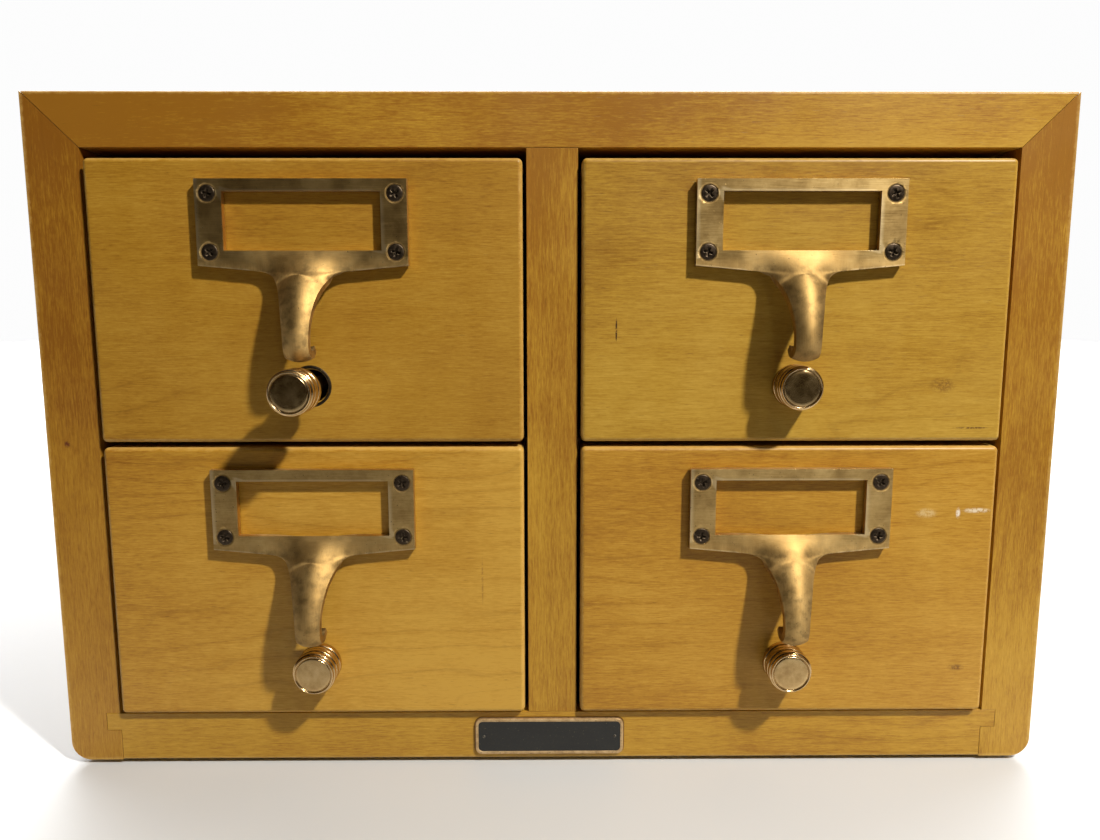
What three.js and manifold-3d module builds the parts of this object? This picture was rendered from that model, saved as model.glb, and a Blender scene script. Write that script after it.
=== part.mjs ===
// Four-drawer card catalog cabinet: a mitred hardwood case, a divider and shelf lapped into each
// other, and four dovetailed card trays. Each tray has a cast label-holder pull, four screws, a guide
// rod with its knob, and a follower block that keeps the cards upright.
//
// Millimetres. Seen from the front, +X is to the right, +Y to the back and +Z up. The origin is under
// the middle of the whole object, on the surface that it stands on.
import * as THREE from "three";
import { mergeVertices } from "three/addons/utils/BufferGeometryUtils.js";
import Module from "manifold-3d";

const wasm = await Module();
wasm.setup();

// Case
const CASE_WIDTH = 381;
const CASE_DEPTH = 432;
const CASE_HEIGHT = 255;
const SIDE_THICKNESS = 19.9;
const TOP_THICKNESS = 19.7;
const BOTTOM_THICKNESS = 19.4;
const DIVIDER_THICKNESS = 18.8;
const SHELF_THICKNESS = 9.5;
const BACK_THICKNESS = 6;
const CORNER_RADIUS = 7.5; // lower outside corners of the two sides
const TONGUE_LENGTH = 5.5; // of the bottom panel, let into each side
const TONGUE_HEIGHT = 7;
const SHELF_DADO_DEPTH = 6;
const BACK_RABBET = 8; // wood left outside the back panel
const GLUE_GAP = 0.1; // left between the faces of every glued joint

// Drawer fronts
const FRONT_WIDTH = 157.6;
const FRONT_THICKNESS = 19;
const FRONT_PROUD = 3.1; // ahead of the case's front
const FRONT_EDGE_RADIUS = 1.7;
const FRONT_CORNER_RADIUS = 1.8;
const COLUMN_OFFSET = 89.6; // from the cabinet's middle to a drawer's
const LOWER_FRONT_HEIGHT = 105.3;
const UPPER_FRONT_HEIGHT = 103.2;
const FRONT_GAP = 2.1; // between the lower and the upper fronts

// Trays
const TRAY_SIDE_THICKNESS = 12.7;
const TRAY_SIDE_HEIGHT = 60;
const TRAY_END = 414; // behind the case's front
const TRAY_DROP = 0.8; // tray's lower edge, below the front's
const RUNNING_GAP = 0.5; // under the tray's lower edge
const SWEEP_TOP = 84; // where the sides' top edge meets the front, above the front's lower edge
const SWEEP_LENGTH = 62;
const TAIL_COUNT = 4;
const TAIL_PITCH = 20;
const TAIL_LENGTH = 12;
const TAIL_ROOT = 9;
const TAIL_TIP = 13;
const TRAY_BOTTOM_THICKNESS = 5;
const TRAY_BOTTOM_RISE = 3; // above the tray's lower edge
const GROOVE_DEPTH = 4;
const FRONT_GROOVE_DEPTH = 5;
const TRAY_BACK_THICKNESS = 10;
const TRAY_BACK_TOP = 57;
const TRAY_BACK_INSET = 6; // in from the ends of the sides
const TRAY_BACK_DADO = 5;

// Guide rod, knob and follower
const ROD_HEIGHT = 21; // above the front's lower edge
const ROD_RADIUS = 3.175;
const ROD_HOLE_RADIUS = 6.3;
const ROD_HOLE_MOUTH_RADIUS = 7.6;
const ROD_HOLE_MOUTH_DEPTH = 1.3;
const ROD_END_HOLE_RADIUS = 3.5;
const ROD_TAIL = 3; // rod showing behind the tray's back
const ROD_PULLED = 15; // how far the upper left rod stands out
const KNOB_LENGTH = 11.7;
const KNOB_RADIUS = 8.1; // of its foot, band and head
const KNOB_GROOVE_RADIUS = 7.3;
const KNOB_RIM_RADIUS = 7.4; // round the flat face
const KNOB_FACE_RADIUS = 6.8;
const KNOB_FACE_DEPTH = 0.2; // below the rim
const KNOB_CLEARANCE = 0.3;
const KNOB_BORE_RADIUS = 3.4;
const KNOB_BORE_DEPTH = 6;
const KNOB_BOSS_LENGTH = 6;
const KNOB_BOSS_RADIUS = 5.8;
const SLOT_WIDTH = 8; // in the tray's bottom, for the follower's foot
const SLOT_START = 45;
const SLOT_END = 394;
const FOLLOWER_WIDTH = 128;
const FOLLOWER_HEIGHT = 70;
const FOLLOWER_BACK = 396;
const FOLLOWER_BASE_DEPTH = 30;
const FOLLOWER_TOP_DEPTH = 14;
const FOLLOWER_HOLE_RADIUS = 4.5;
const FOOT_WIDTH = 7;
const FOOT_DEPTH = 20;
const FOOT_PLATE_WIDTH = 26;
const FOOT_PLATE_THICKNESS = 1.6;

// Pull: a cast frame around the label window, and a finger tongue below it
const PULL_DROP = 7.8; // frame's top edge, below the front's
const FRAME_WIDTH = 75.6;
const FRAME_HEIGHT = 30.5;
const FRAME_BELLY = 33.4; // the frame's depth where its lower edge turns into the tongue
const FRAME_THICKNESS = 3.3;
const FRAME_CORNER_RADIUS = 1;
const WINDOW_WIDTH = 56.5;
const WINDOW_TOP = 4.3;
const WINDOW_HEIGHT = 20.9;
const CARD_RECESS_WIDTH = 62;
const CARD_RECESS_MARGIN = 2;
const CARD_RECESS_DEPTH = 1.1;
const TONGUE_THICKNESS = 2.8;
// Middle line of the tongue: out from the drawer's face, below the frame's top edge, half width.
const TONGUE_LINE = [
  [1.9, -27.5, 12],
  [4.4, -30.4, 12.6],
  [8, -33.7, 9.8],
  [11, -37.5, 7.9],
  [14.3, -43.4, 6.3],
  [16.3, -48.8, 5.3],
  [17.2, -54.2, 4.6],
  [16.6, -59.9, 4.5],
  [13.6, -62.9, 4.7],
  [9.6, -62.7, 4.7],
  [7.4, -60.6, 4.6],
];

// Pull screws
const SCREW_SPACING_X = 66.8;
const SCREW_SPACING_Z = 20.6;
const SCREW_TOP = 5.1; // upper screws, below the frame's top edge
const SCREW_HEAD_RADIUS = 3;
const SCREW_HEAD_DEPTH = 1.8;
const SCREW_DOME = 0.3;
const SCREW_SHANK_RADIUS = 1.5;
const SCREW_LENGTH = 14;
const SCREW_CLEARANCE = 0.2;
const RECESS_LENGTH = 3.4;
const RECESS_WIDTH = 0.8;
const RECESS_DEPTH = 1;

// Name plate
const PLATE_WIDTH = 58.6;
const PLATE_HEIGHT = 14.8;
const PLATE_THICKNESS = 1.2;
const PLATE_X = -1.2;
const PLATE_Z = 9.6;
const PLATE_RADIUS = 2.6;
const PLATE_GAP = 0.05;

// Worked out from the above
const HALF_WIDTH = CASE_WIDTH / 2;
const INNER_HALF_WIDTH = HALF_WIDTH - SIDE_THICKNESS;
const INNER_TOP = CASE_HEIGHT - TOP_THICKNESS;
const INNER_BACK = CASE_DEPTH - BACK_THICKNESS;
const LOWER_FRONT_BOTTOM = BOTTOM_THICKNESS + RUNNING_GAP + TRAY_DROP;
const UPPER_FRONT_BOTTOM = LOWER_FRONT_BOTTOM + LOWER_FRONT_HEIGHT + FRONT_GAP;
const SHELF_TOP = UPPER_FRONT_BOTTOM - TRAY_DROP - RUNNING_GAP;
const SHELF_BOTTOM = SHELF_TOP - SHELF_THICKNESS;
const FRONT_BACK = FRONT_THICKNESS - FRONT_PROUD;
const SHELF_FRONT = FRONT_BACK + 1;
const LAP_MIDDLE = (SHELF_FRONT + INNER_BACK) / 2;
const TRAY_INNER_HALF = FRONT_WIDTH / 2 - TRAY_SIDE_THICKNESS;
const TRAY_LOW = -TRAY_DROP;
const GROOVE_LOW = TRAY_LOW + TRAY_BOTTOM_RISE - GLUE_GAP;
const GROOVE_HIGH = GROOVE_LOW + TRAY_BOTTOM_THICKNESS + 2 * GLUE_GAP;
const TRAY_BACK_REAR = TRAY_END - TRAY_BACK_INSET;
const TRAY_BACK_FRONT = TRAY_BACK_REAR - TRAY_BACK_THICKNESS;
const FACE = -FRONT_PROUD;
const KNOB_REACH = FRONT_PROUD + KNOB_CLEARANCE + KNOB_LENGTH + ROD_PULLED;
const CASE_FRONT = (KNOB_REACH - CASE_DEPTH) / 2;

// Finishes
const finish = (color, roughness, metalness) => ({ color, roughness, metalness });
const MAPLE = finish(0xb98a3c, 0.4, 0);
const MAPLE_FRONT = finish(0xb5883a, 0.38, 0);
const TRAY_WOOD = finish(0xc9a768, 0.6, 0);
const BACK_WOOD = finish(0xa98a5a, 0.75, 0);
const PULL_BRASS = finish(0x9a7f4c, 0.35, 1);
const KNOB_BRASS = finish(0xb98f63, 0.28, 1);
const ROD_STEEL = finish(0x9c9a94, 0.35, 1);
const SCREW_BLACK = finish(0x2b2723, 0.5, 0.6);
const PLATE_BLACK = finish(0x15130f, 0.45, 0.1);

// A closed three.js geometry as a solid that can be cut and joined.
function solid(geometry) {
  const bare = geometry.clone();
  bare.deleteAttribute("normal");
  bare.deleteAttribute("uv");
  const merged = mergeVertices(bare, 1e-4);
  return new wasm.Manifold(
    new wasm.Mesh({
      numProp: 3,
      vertProperties: merged.attributes.position.array,
      triVerts: new Uint32Array(merged.index.array),
    }),
  );
}

// A named mesh of a solid, in its own material, placed at x, y, z in its group.
function piece(name, body, look, x = 0, y = 0, z = 0) {
  const { vertProperties, triVerts } = body.getMesh();
  const indexed = new THREE.BufferGeometry();
  indexed.setAttribute("position", new THREE.BufferAttribute(vertProperties, 3));
  indexed.setIndex(new THREE.BufferAttribute(triVerts, 1));
  const geometry = indexed.toNonIndexed();
  geometry.computeVertexNormals();
  const mesh = new THREE.Mesh(geometry, new THREE.MeshStandardMaterial(look));
  mesh.name = name;
  mesh.position.set(x, y, z);
  return mesh;
}

function group(x, y, z, ...members) {
  const holder = new THREE.Group();
  holder.position.set(x, y, z);
  holder.add(...members);
  return holder;
}

// A box between two corners.
function block([x0, y0, z0], [x1, y1, z1]) {
  const geometry = new THREE.BoxGeometry(x1 - x0, y1 - y0, z1 - z0);
  geometry.translate((x0 + x1) / 2, (y0 + y1) / 2, (z0 + z1) / 2);
  return solid(geometry);
}

const outline = (points) => new THREE.Shape(points.map(([u, v]) => new THREE.Vector2(u, v)));

// An outline drawn in X and Z, extruded from y0 back to y1.
function alongY(shape, y0, y1, options = {}) {
  const geometry = new THREE.ExtrudeGeometry(shape, {
    depth: y1 - y0,
    bevelEnabled: false,
    ...options,
  });
  geometry.rotateX(Math.PI / 2);
  geometry.translate(0, y1, 0);
  return solid(geometry);
}

// An outline drawn in Y and Z, extruded from x0 to x1.
function alongX(shape, x0, x1, options = {}) {
  const geometry = new THREE.ExtrudeGeometry(shape, {
    depth: x1 - x0,
    bevelEnabled: false,
    ...options,
  });
  geometry.rotateX(Math.PI / 2);
  geometry.rotateZ(Math.PI / 2);
  geometry.translate(x0, 0, 0);
  return solid(geometry);
}

// An outline drawn in X and Y, extruded up from z0 to z1.
function alongZ(shape, z0, z1) {
  const geometry = new THREE.ExtrudeGeometry(shape, { depth: z1 - z0, bevelEnabled: false });
  geometry.translate(0, 0, z0);
  return solid(geometry);
}

// A turned solid about a line parallel to Y: points are [radius, y], from the front axis to the back.
function turned(points, segments, x = 0, z = 0) {
  const profile = points.map(([radius, y]) => new THREE.Vector2(radius, y));
  const geometry = new THREE.LatheGeometry(profile, segments);
  geometry.translate(x, 0, z);
  return solid(geometry);
}

function roundedRectangle(x0, z0, x1, z1, radius) {
  const shape = new THREE.Shape();
  shape.moveTo(x0 + radius, z0);
  shape.lineTo(x1 - radius, z0);
  shape.absarc(x1 - radius, z0 + radius, radius, -Math.PI / 2, 0);
  shape.lineTo(x1, z1 - radius);
  shape.absarc(x1 - radius, z1 - radius, radius, 0, Math.PI / 2);
  shape.lineTo(x0 + radius, z1);
  shape.absarc(x0 + radius, z1 - radius, radius, Math.PI / 2, Math.PI);
  shape.lineTo(x0, z0 + radius);
  shape.absarc(x0 + radius, z0 + radius, radius, Math.PI, 1.5 * Math.PI);
  return shape;
}

// The space that the back panel takes out of the case's boards.
function backRabbet() {
  const half = HALF_WIDTH - BACK_RABBET;
  const low = [-half, INNER_BACK, BACK_RABBET];
  return block(low, [half, CASE_DEPTH + 1, CASE_HEIGHT - BACK_RABBET]);
}

// The top board, mitred at both ends.
function topPanel() {
  const shape = outline([
    [-INNER_HALF_WIDTH, INNER_TOP],
    [INNER_HALF_WIDTH, INNER_TOP],
    [HALF_WIDTH, CASE_HEIGHT],
    [-HALF_WIDTH, CASE_HEIGHT],
  ]);
  return alongY(shape, 0, CASE_DEPTH).subtract(backRabbet());
}

// A side board, on the left for side = -1 and on the right for side = 1.
function sidePanel(side) {
  const mitreGap = Math.SQRT2 * GLUE_GAP;
  const shape = new THREE.Shape();
  const round = HALF_WIDTH - CORNER_RADIUS;
  shape.moveTo(INNER_HALF_WIDTH, 0);
  shape.lineTo(round, 0);
  shape.absarc(round, CORNER_RADIUS, CORNER_RADIUS, -Math.PI / 2, 0);
  shape.lineTo(HALF_WIDTH, CASE_HEIGHT - mitreGap);
  shape.lineTo(INNER_HALF_WIDTH, INNER_TOP - mitreGap);
  const board = alongY(shape, 0, CASE_DEPTH, { curveSegments: 5 });
  const tongueLow = [INNER_HALF_WIDTH - 1, -1, BOTTOM_THICKNESS - TONGUE_HEIGHT - GLUE_GAP];
  const tongueHigh = [INNER_HALF_WIDTH + TONGUE_LENGTH, INNER_BACK + 1, BOTTOM_THICKNESS + GLUE_GAP];
  const shelfLow = [INNER_HALF_WIDTH - 1, SHELF_FRONT, SHELF_BOTTOM - GLUE_GAP];
  const shelfHigh = [INNER_HALF_WIDTH + SHELF_DADO_DEPTH, INNER_BACK + 1, SHELF_TOP + GLUE_GAP];
  const cut = board
    .subtract(block(tongueLow, tongueHigh))
    .subtract(block(shelfLow, shelfHigh))
    .subtract(backRabbet());
  return side > 0 ? cut : cut.mirror([1, 0, 0]);
}

// The bottom board, with a tongue along the upper edge of each end.
function bottomPanel() {
  const end = INNER_HALF_WIDTH - GLUE_GAP;
  const tongue = INNER_HALF_WIDTH + TONGUE_LENGTH - GLUE_GAP;
  const under = BOTTOM_THICKNESS - TONGUE_HEIGHT;
  const shape = outline([
    [-end, 0],
    [end, 0],
    [end, under],
    [tongue, under],
    [tongue, BOTTOM_THICKNESS],
    [-tongue, BOTTOM_THICKNESS],
    [-tongue, under],
    [-end, under],
  ]);
  return alongY(shape, 0, INNER_BACK - GLUE_GAP).add(bottomBackEdge(end));
}

// The strip of the bottom board that runs on under the back panel.
function bottomBackEdge(end) {
  const low = [-end, INNER_BACK - 1, 0];
  return block(low, [end, CASE_DEPTH, BACK_RABBET]);
}

// The upright board between the columns, slotted from its back to the middle for the shelf.
function centerDivider() {
  const half = DIVIDER_THICKNESS / 2;
  const low = [-half, 0, BOTTOM_THICKNESS + GLUE_GAP];
  const board = block(low, [half, INNER_BACK - GLUE_GAP, INNER_TOP - GLUE_GAP]);
  const slotLow = [-half - 1, LAP_MIDDLE, SHELF_BOTTOM - GLUE_GAP];
  return board.subtract(block(slotLow, [half + 1, INNER_BACK, SHELF_TOP + GLUE_GAP]));
}

// The shelf between the rows, slotted from its front to the middle for the divider.
function shelf() {
  const end = INNER_HALF_WIDTH + SHELF_DADO_DEPTH - GLUE_GAP;
  const front = SHELF_FRONT + GLUE_GAP;
  const board = block([-end, front, SHELF_BOTTOM], [end, INNER_BACK - GLUE_GAP, SHELF_TOP]);
  const half = DIVIDER_THICKNESS / 2 + GLUE_GAP;
  const slotHigh = [half, LAP_MIDDLE + GLUE_GAP, SHELF_TOP + 1];
  return board.subtract(block([-half, front - 1, SHELF_BOTTOM - 1], slotHigh));
}

function backPanel() {
  const half = HALF_WIDTH - BACK_RABBET - GLUE_GAP;
  const low = [-half, INNER_BACK + GLUE_GAP, BACK_RABBET + GLUE_GAP];
  return block(low, [half, CASE_DEPTH, CASE_HEIGHT - BACK_RABBET - GLUE_GAP]);
}

function namePlate() {
  const halfWidth = PLATE_WIDTH / 2;
  const halfHeight = PLATE_HEIGHT / 2;
  const shape = roundedRectangle(-halfWidth, -halfHeight, halfWidth, halfHeight, PLATE_RADIUS);
  return alongY(shape, -PLATE_THICKNESS, 0, { curveSegments: 4 });
}

// The tails on the front end of a tray side, as [y, z] outlines, grown by a gap for their sockets.
function tails(gap = 0) {
  const shapes = [];
  for (let i = 0; i < TAIL_COUNT; i++) {
    const middle = (i + 0.5) * TAIL_PITCH;
    const root = TAIL_ROOT / 2 + gap;
    const tip = TAIL_TIP / 2 + gap;
    shapes.push([
      [FRONT_BACK, middle + root],
      [FRONT_BACK - TAIL_LENGTH - gap, middle + tip],
      [FRONT_BACK - TAIL_LENGTH - gap, middle - tip],
      [FRONT_BACK, middle - root],
    ]);
  }
  return shapes;
}

// The drawer front: eased edges and corners, dovetail sockets, a groove, the rod's hole and pilot holes.
function drawerFront(height) {
  const half = FRONT_WIDTH / 2;
  const edge = FRONT_EDGE_RADIUS;
  const rectangle = roundedRectangle(-half, 0, half, height, FRONT_CORNER_RADIUS);
  const bevelled = new THREE.ExtrudeGeometry(rectangle, {
    curveSegments: 3,
    depth: FRONT_THICKNESS - edge,
    bevelThickness: edge,
    bevelSize: edge,
    bevelOffset: -edge,
    bevelSegments: 3,
  });
  bevelled.rotateX(Math.PI / 2);
  bevelled.translate(0, FACE + FRONT_THICKNESS, 0);
  const spare = block([-half - 1, FRONT_BACK, -1], [half + 1, FRONT_BACK + 2 * edge, height + 1]);
  let front = solid(bevelled).subtract(spare);
  for (const side of [-1, 1]) front = cutSockets(front, side);
  const grooveFront = FRONT_BACK - FRONT_GROOVE_DEPTH;
  const grooveLow = [-TRAY_INNER_HALF, grooveFront, GROOVE_LOW];
  front = front.subtract(block(grooveLow, [TRAY_INNER_HALF, FRONT_BACK + 1, GROOVE_HIGH]));
  front = front.subtract(rodHole());
  for (const [x, z] of screwPlaces()) {
    const pilot = SCREW_SHANK_RADIUS + SCREW_CLEARANCE;
    const end = FACE - FRAME_THICKNESS + SCREW_LENGTH + SCREW_CLEARANCE;
    const hole = [[0, FACE - 1], [pilot, FACE - 1], [pilot, end], [0, end]];
    front = front.subtract(turned(hole, 8, x, height - PULL_DROP + z));
  }
  return front;
}

// Cuts the half-blind sockets for one tray side's tails into that end of the front.
function cutSockets(front, side) {
  const inner = side * (TRAY_INNER_HALF - GLUE_GAP);
  const outer = side * (FRONT_WIDTH / 2 + 1);
  for (const tail of tails(GLUE_GAP)) {
    const [root, tip, lowTip, lowRoot] = tail;
    const open = [[FRONT_BACK + 1, root[1]], root, tip, lowTip, lowRoot, [FRONT_BACK + 1, lowRoot[1]]];
    const socket = alongX(outline(open), Math.min(inner, outer), Math.max(inner, outer));
    front = front.subtract(socket);
  }
  return front;
}

// The hole for the guide rod, with a chamfered mouth.
function rodHole() {
  const mouth = FACE + ROD_HOLE_MOUTH_DEPTH;
  const flare = ROD_HOLE_MOUTH_RADIUS + (ROD_HOLE_MOUTH_RADIUS - ROD_HOLE_RADIUS) / ROD_HOLE_MOUTH_DEPTH;
  const profile = [
    [0, FACE - 1],
    [flare, FACE - 1],
    [ROD_HOLE_RADIUS, mouth],
    [ROD_HOLE_RADIUS, FRONT_BACK + 1],
    [0, FRONT_BACK + 1],
  ];
  return turned(profile, 20, 0, ROD_HEIGHT);
}

// A tray side, on the left for side = -1 and on the right for side = 1. Its top edge sweeps up to
// the front, and its inner face is grooved for the bottom and housed for the back.
function traySide(side) {
  const top = TRAY_LOW + TRAY_SIDE_HEIGHT;
  const sweepEnd = FRONT_BACK + SWEEP_LENGTH;
  const shape = new THREE.Shape();
  shape.moveTo(FRONT_BACK + GLUE_GAP, TRAY_LOW);
  shape.lineTo(TRAY_END, TRAY_LOW);
  shape.lineTo(TRAY_END, top);
  shape.lineTo(sweepEnd, top);
  const bend = FRONT_BACK + SWEEP_LENGTH / 2;
  shape.bezierCurveTo(bend, top, bend, SWEEP_TOP, FRONT_BACK + GLUE_GAP, SWEEP_TOP);
  for (const tail of tails().reverse()) {
    const [root, tip, lowTip, lowRoot] = tail;
    shape.lineTo(FRONT_BACK + GLUE_GAP, root[1]);
    shape.lineTo(tip[0], tip[1]);
    shape.lineTo(lowTip[0], lowTip[1]);
    shape.lineTo(FRONT_BACK + GLUE_GAP, lowRoot[1]);
  }
  const outer = FRONT_WIDTH / 2;
  const board = alongX(shape, TRAY_INNER_HALF, outer, { curveSegments: 8 });
  const grooveLow = [TRAY_INNER_HALF - 1, FRONT_BACK - TAIL_LENGTH - 1, GROOVE_LOW];
  const grooveHigh = [TRAY_INNER_HALF + GROOVE_DEPTH, TRAY_END + 1, GROOVE_HIGH];
  const dadoLow = [TRAY_INNER_HALF - 1, TRAY_BACK_FRONT - GLUE_GAP, GROOVE_HIGH - 1];
  const dadoHigh = [TRAY_INNER_HALF + TRAY_BACK_DADO, TRAY_BACK_REAR + GLUE_GAP, top + 1];
  const cut = board.subtract(block(grooveLow, grooveHigh)).subtract(block(dadoLow, dadoHigh));
  return side > 0 ? cut : cut.mirror([1, 0, 0]);
}

// The tray's back, housed in both sides, with a hole that steadies the rod's end.
function trayBack() {
  const half = TRAY_INNER_HALF + TRAY_BACK_DADO - GLUE_GAP;
  const low = [-half, TRAY_BACK_FRONT, GROOVE_HIGH + GLUE_GAP];
  const board = block(low, [half, TRAY_BACK_REAR, TRAY_BACK_TOP]);
  const front = TRAY_BACK_FRONT - 1;
  const rear = TRAY_BACK_REAR + 1;
  const hole = [[0, front], [ROD_END_HOLE_RADIUS, front], [ROD_END_HOLE_RADIUS, rear], [0, rear]];
  return board.subtract(turned(hole, 16, 0, ROD_HEIGHT));
}

// The tray's bottom: tongued into the front, grooved into the sides, slotted along its middle.
function trayBottom() {
  const narrow = TRAY_INNER_HALF - GLUE_GAP;
  const wide = TRAY_INNER_HALF + GROOVE_DEPTH - GLUE_GAP;
  const tongueEnd = FRONT_BACK - FRONT_GROOVE_DEPTH + GLUE_GAP;
  const shoulder = FRONT_BACK + GLUE_GAP;
  const board = outline([
    [-narrow, tongueEnd],
    [narrow, tongueEnd],
    [narrow, shoulder],
    [wide, shoulder],
    [wide, TRAY_END],
    [-wide, TRAY_END],
    [-wide, shoulder],
    [-narrow, shoulder],
  ]);
  const half = SLOT_WIDTH / 2;
  board.holes.push(outline([[-half, SLOT_START], [-half, SLOT_END], [half, SLOT_END], [half, SLOT_START]]));
  const low = GROOVE_LOW + GLUE_GAP;
  return alongZ(board, low, low + TRAY_BOTTOM_THICKNESS);
}

// Screw centres, measured from the middle of the frame's top edge.
function screwPlaces() {
  const places = [];
  for (const z of [-SCREW_TOP, -SCREW_TOP - SCREW_SPACING_Z]) {
    for (const x of [-SCREW_SPACING_X / 2, SCREW_SPACING_X / 2]) places.push([x, z]);
  }
  return places;
}

// The frame's outline: straight at the top and ends, its lower edge falling to the tongue's root.
function frameShape() {
  const half = FRAME_WIDTH / 2;
  const round = FRAME_CORNER_RADIUS;
  const root = TONGUE_LINE[1][2];
  const neck = TONGUE_LINE[2][2];
  const shape = new THREE.Shape();
  shape.moveTo(-half + round, 0);
  shape.absarc(-half + round, -round, round, Math.PI / 2, Math.PI);
  shape.lineTo(-half, -FRAME_HEIGHT + round);
  shape.absarc(-half + round, -FRAME_HEIGHT + round, round, Math.PI, 1.4 * Math.PI);
  shape.lineTo(-root, -FRAME_BELLY);
  shape.lineTo(-neck, -FRAME_BELLY - 0.8);
  shape.lineTo(neck, -FRAME_BELLY - 0.8);
  shape.lineTo(root, -FRAME_BELLY);
  shape.absarc(half - round, -FRAME_HEIGHT + round, round, 1.6 * Math.PI, 2 * Math.PI);
  shape.lineTo(half, -round);
  shape.absarc(half - round, -round, round, 0, Math.PI / 2);
  const window = WINDOW_WIDTH / 2;
  const low = -WINDOW_TOP - WINDOW_HEIGHT;
  const opening = [[-window, -WINDOW_TOP], [window, -WINDOW_TOP], [window, low], [-window, low]];
  shape.holes.push(outline(opening));
  return shape;
}

// The finger tongue: an oval section carried along the tongue's middle line.
function pullTongue() {
  const points = TONGUE_LINE.map(([out, z, half]) => new THREE.Vector3(out, z, half));
  const line = new THREE.CatmullRomCurve3(points);
  const steps = 16;
  const geometry = new THREE.CylinderGeometry(1, 1, 1, 12, steps);
  const place = geometry.attributes.position;
  for (let i = 0; i < place.count; i++) {
    const along = 0.5 - place.getY(i);
    const middle = line.getPoint(along);
    const heading = line.getTangent(along);
    const length = Math.hypot(heading.x, heading.y);
    const across = place.getX(i);
    const bulge = place.getZ(i) * (TONGUE_THICKNESS / 2);
    const out = middle.x - (heading.y / length) * bulge;
    const z = middle.y + (heading.x / length) * bulge;
    place.setXYZ(i, across * middle.z, FACE - out, z);
  }
  return solid(geometry);
}

// The whole pull, its top edge at z = 0, with countersunk holes and a card recess behind the window.
function pull() {
  const back = FACE - GLUE_GAP;
  const face = back - FRAME_THICKNESS;
  let body = alongY(frameShape(), face, back, { curveSegments: 3 }).add(pullTongue());
  const half = CARD_RECESS_WIDTH / 2;
  const top = -WINDOW_TOP + CARD_RECESS_MARGIN;
  const low = -WINDOW_TOP - WINDOW_HEIGHT - CARD_RECESS_MARGIN;
  body = body.subtract(block([-half, back - CARD_RECESS_DEPTH, low], [half, back + 1, top]));
  const wide = SCREW_HEAD_RADIUS + SCREW_CLEARANCE;
  const narrow = SCREW_SHANK_RADIUS + SCREW_CLEARANCE;
  const hole = [
    [0, face - 1],
    [wide, face - 1],
    [wide, face],
    [narrow, face + SCREW_HEAD_DEPTH],
    [narrow, back + 1],
    [0, back + 1],
  ];
  for (const [x, z] of screwPlaces()) body = body.subtract(turned(hole, 14, x, z));
  return body;
}

// A countersunk screw with a cross recess, its head's rim level with the frame's face.
function screw() {
  const face = FACE - GLUE_GAP - FRAME_THICKNESS;
  const profile = [
    [0, face - SCREW_DOME],
    [SCREW_HEAD_RADIUS * 0.6, face - SCREW_DOME * 0.7],
    [SCREW_HEAD_RADIUS, face],
    [SCREW_SHANK_RADIUS, face + SCREW_HEAD_DEPTH],
    [SCREW_SHANK_RADIUS, face + SCREW_LENGTH - 2],
    [0, face + SCREW_LENGTH],
  ];
  const long = RECESS_LENGTH / 2;
  const thin = RECESS_WIDTH / 2;
  const deep = face + RECESS_DEPTH;
  return turned(profile, 12)
    .subtract(block([-long, face - 1, -thin], [long, deep, thin]))
    .subtract(block([-thin, face - 1, -long], [thin, deep, long]));
}

// The guide rod, from inside the knob to just behind the tray's back.
function guideRod() {
  const front = FACE - KNOB_BORE_DEPTH;
  const rear = TRAY_BACK_REAR + ROD_TAIL;
  const chamfer = 0.8;
  const profile = [
    [0, front],
    [ROD_RADIUS - chamfer, front],
    [ROD_RADIUS, front + chamfer],
    [ROD_RADIUS, rear - chamfer],
    [ROD_RADIUS - chamfer, rear],
    [0, rear],
  ];
  return turned(profile, 12);
}

// The knob: a rimmed disc, a plain band and a wider foot ring, then a boss that fills the hole.
function rodKnob() {
  const foot = FACE - KNOB_CLEARANCE;
  const front = foot - KNOB_LENGTH;
  const profile = [
    [0, front + KNOB_FACE_DEPTH],
    [KNOB_FACE_RADIUS, front + KNOB_FACE_DEPTH],
    [KNOB_FACE_RADIUS + 0.3, front],
    [KNOB_RIM_RADIUS, front + 0.3],
    [KNOB_RIM_RADIUS, front + 1.2],
    [KNOB_RADIUS, front + 1.6],
    [KNOB_RADIUS, front + 3.1],
    [KNOB_GROOVE_RADIUS, front + 3.6],
    [KNOB_GROOVE_RADIUS, front + 3.9],
    [KNOB_RADIUS, front + 4.4],
    [KNOB_RADIUS, front + 7.8],
    [KNOB_GROOVE_RADIUS, front + 8.3],
    [KNOB_GROOVE_RADIUS, front + 8.6],
    [KNOB_RADIUS, front + 9.1],
    [KNOB_RADIUS, foot - 0.5],
    [KNOB_RADIUS - 0.5, foot],
    [KNOB_BOSS_RADIUS, foot],
    [KNOB_BOSS_RADIUS, foot + KNOB_BOSS_LENGTH],
    [KNOB_BORE_RADIUS, foot + KNOB_BOSS_LENGTH],
    [KNOB_BORE_RADIUS, foot - KNOB_BORE_DEPTH],
    [0, foot - KNOB_BORE_DEPTH],
  ];
  return turned(profile, 18);
}

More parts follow.
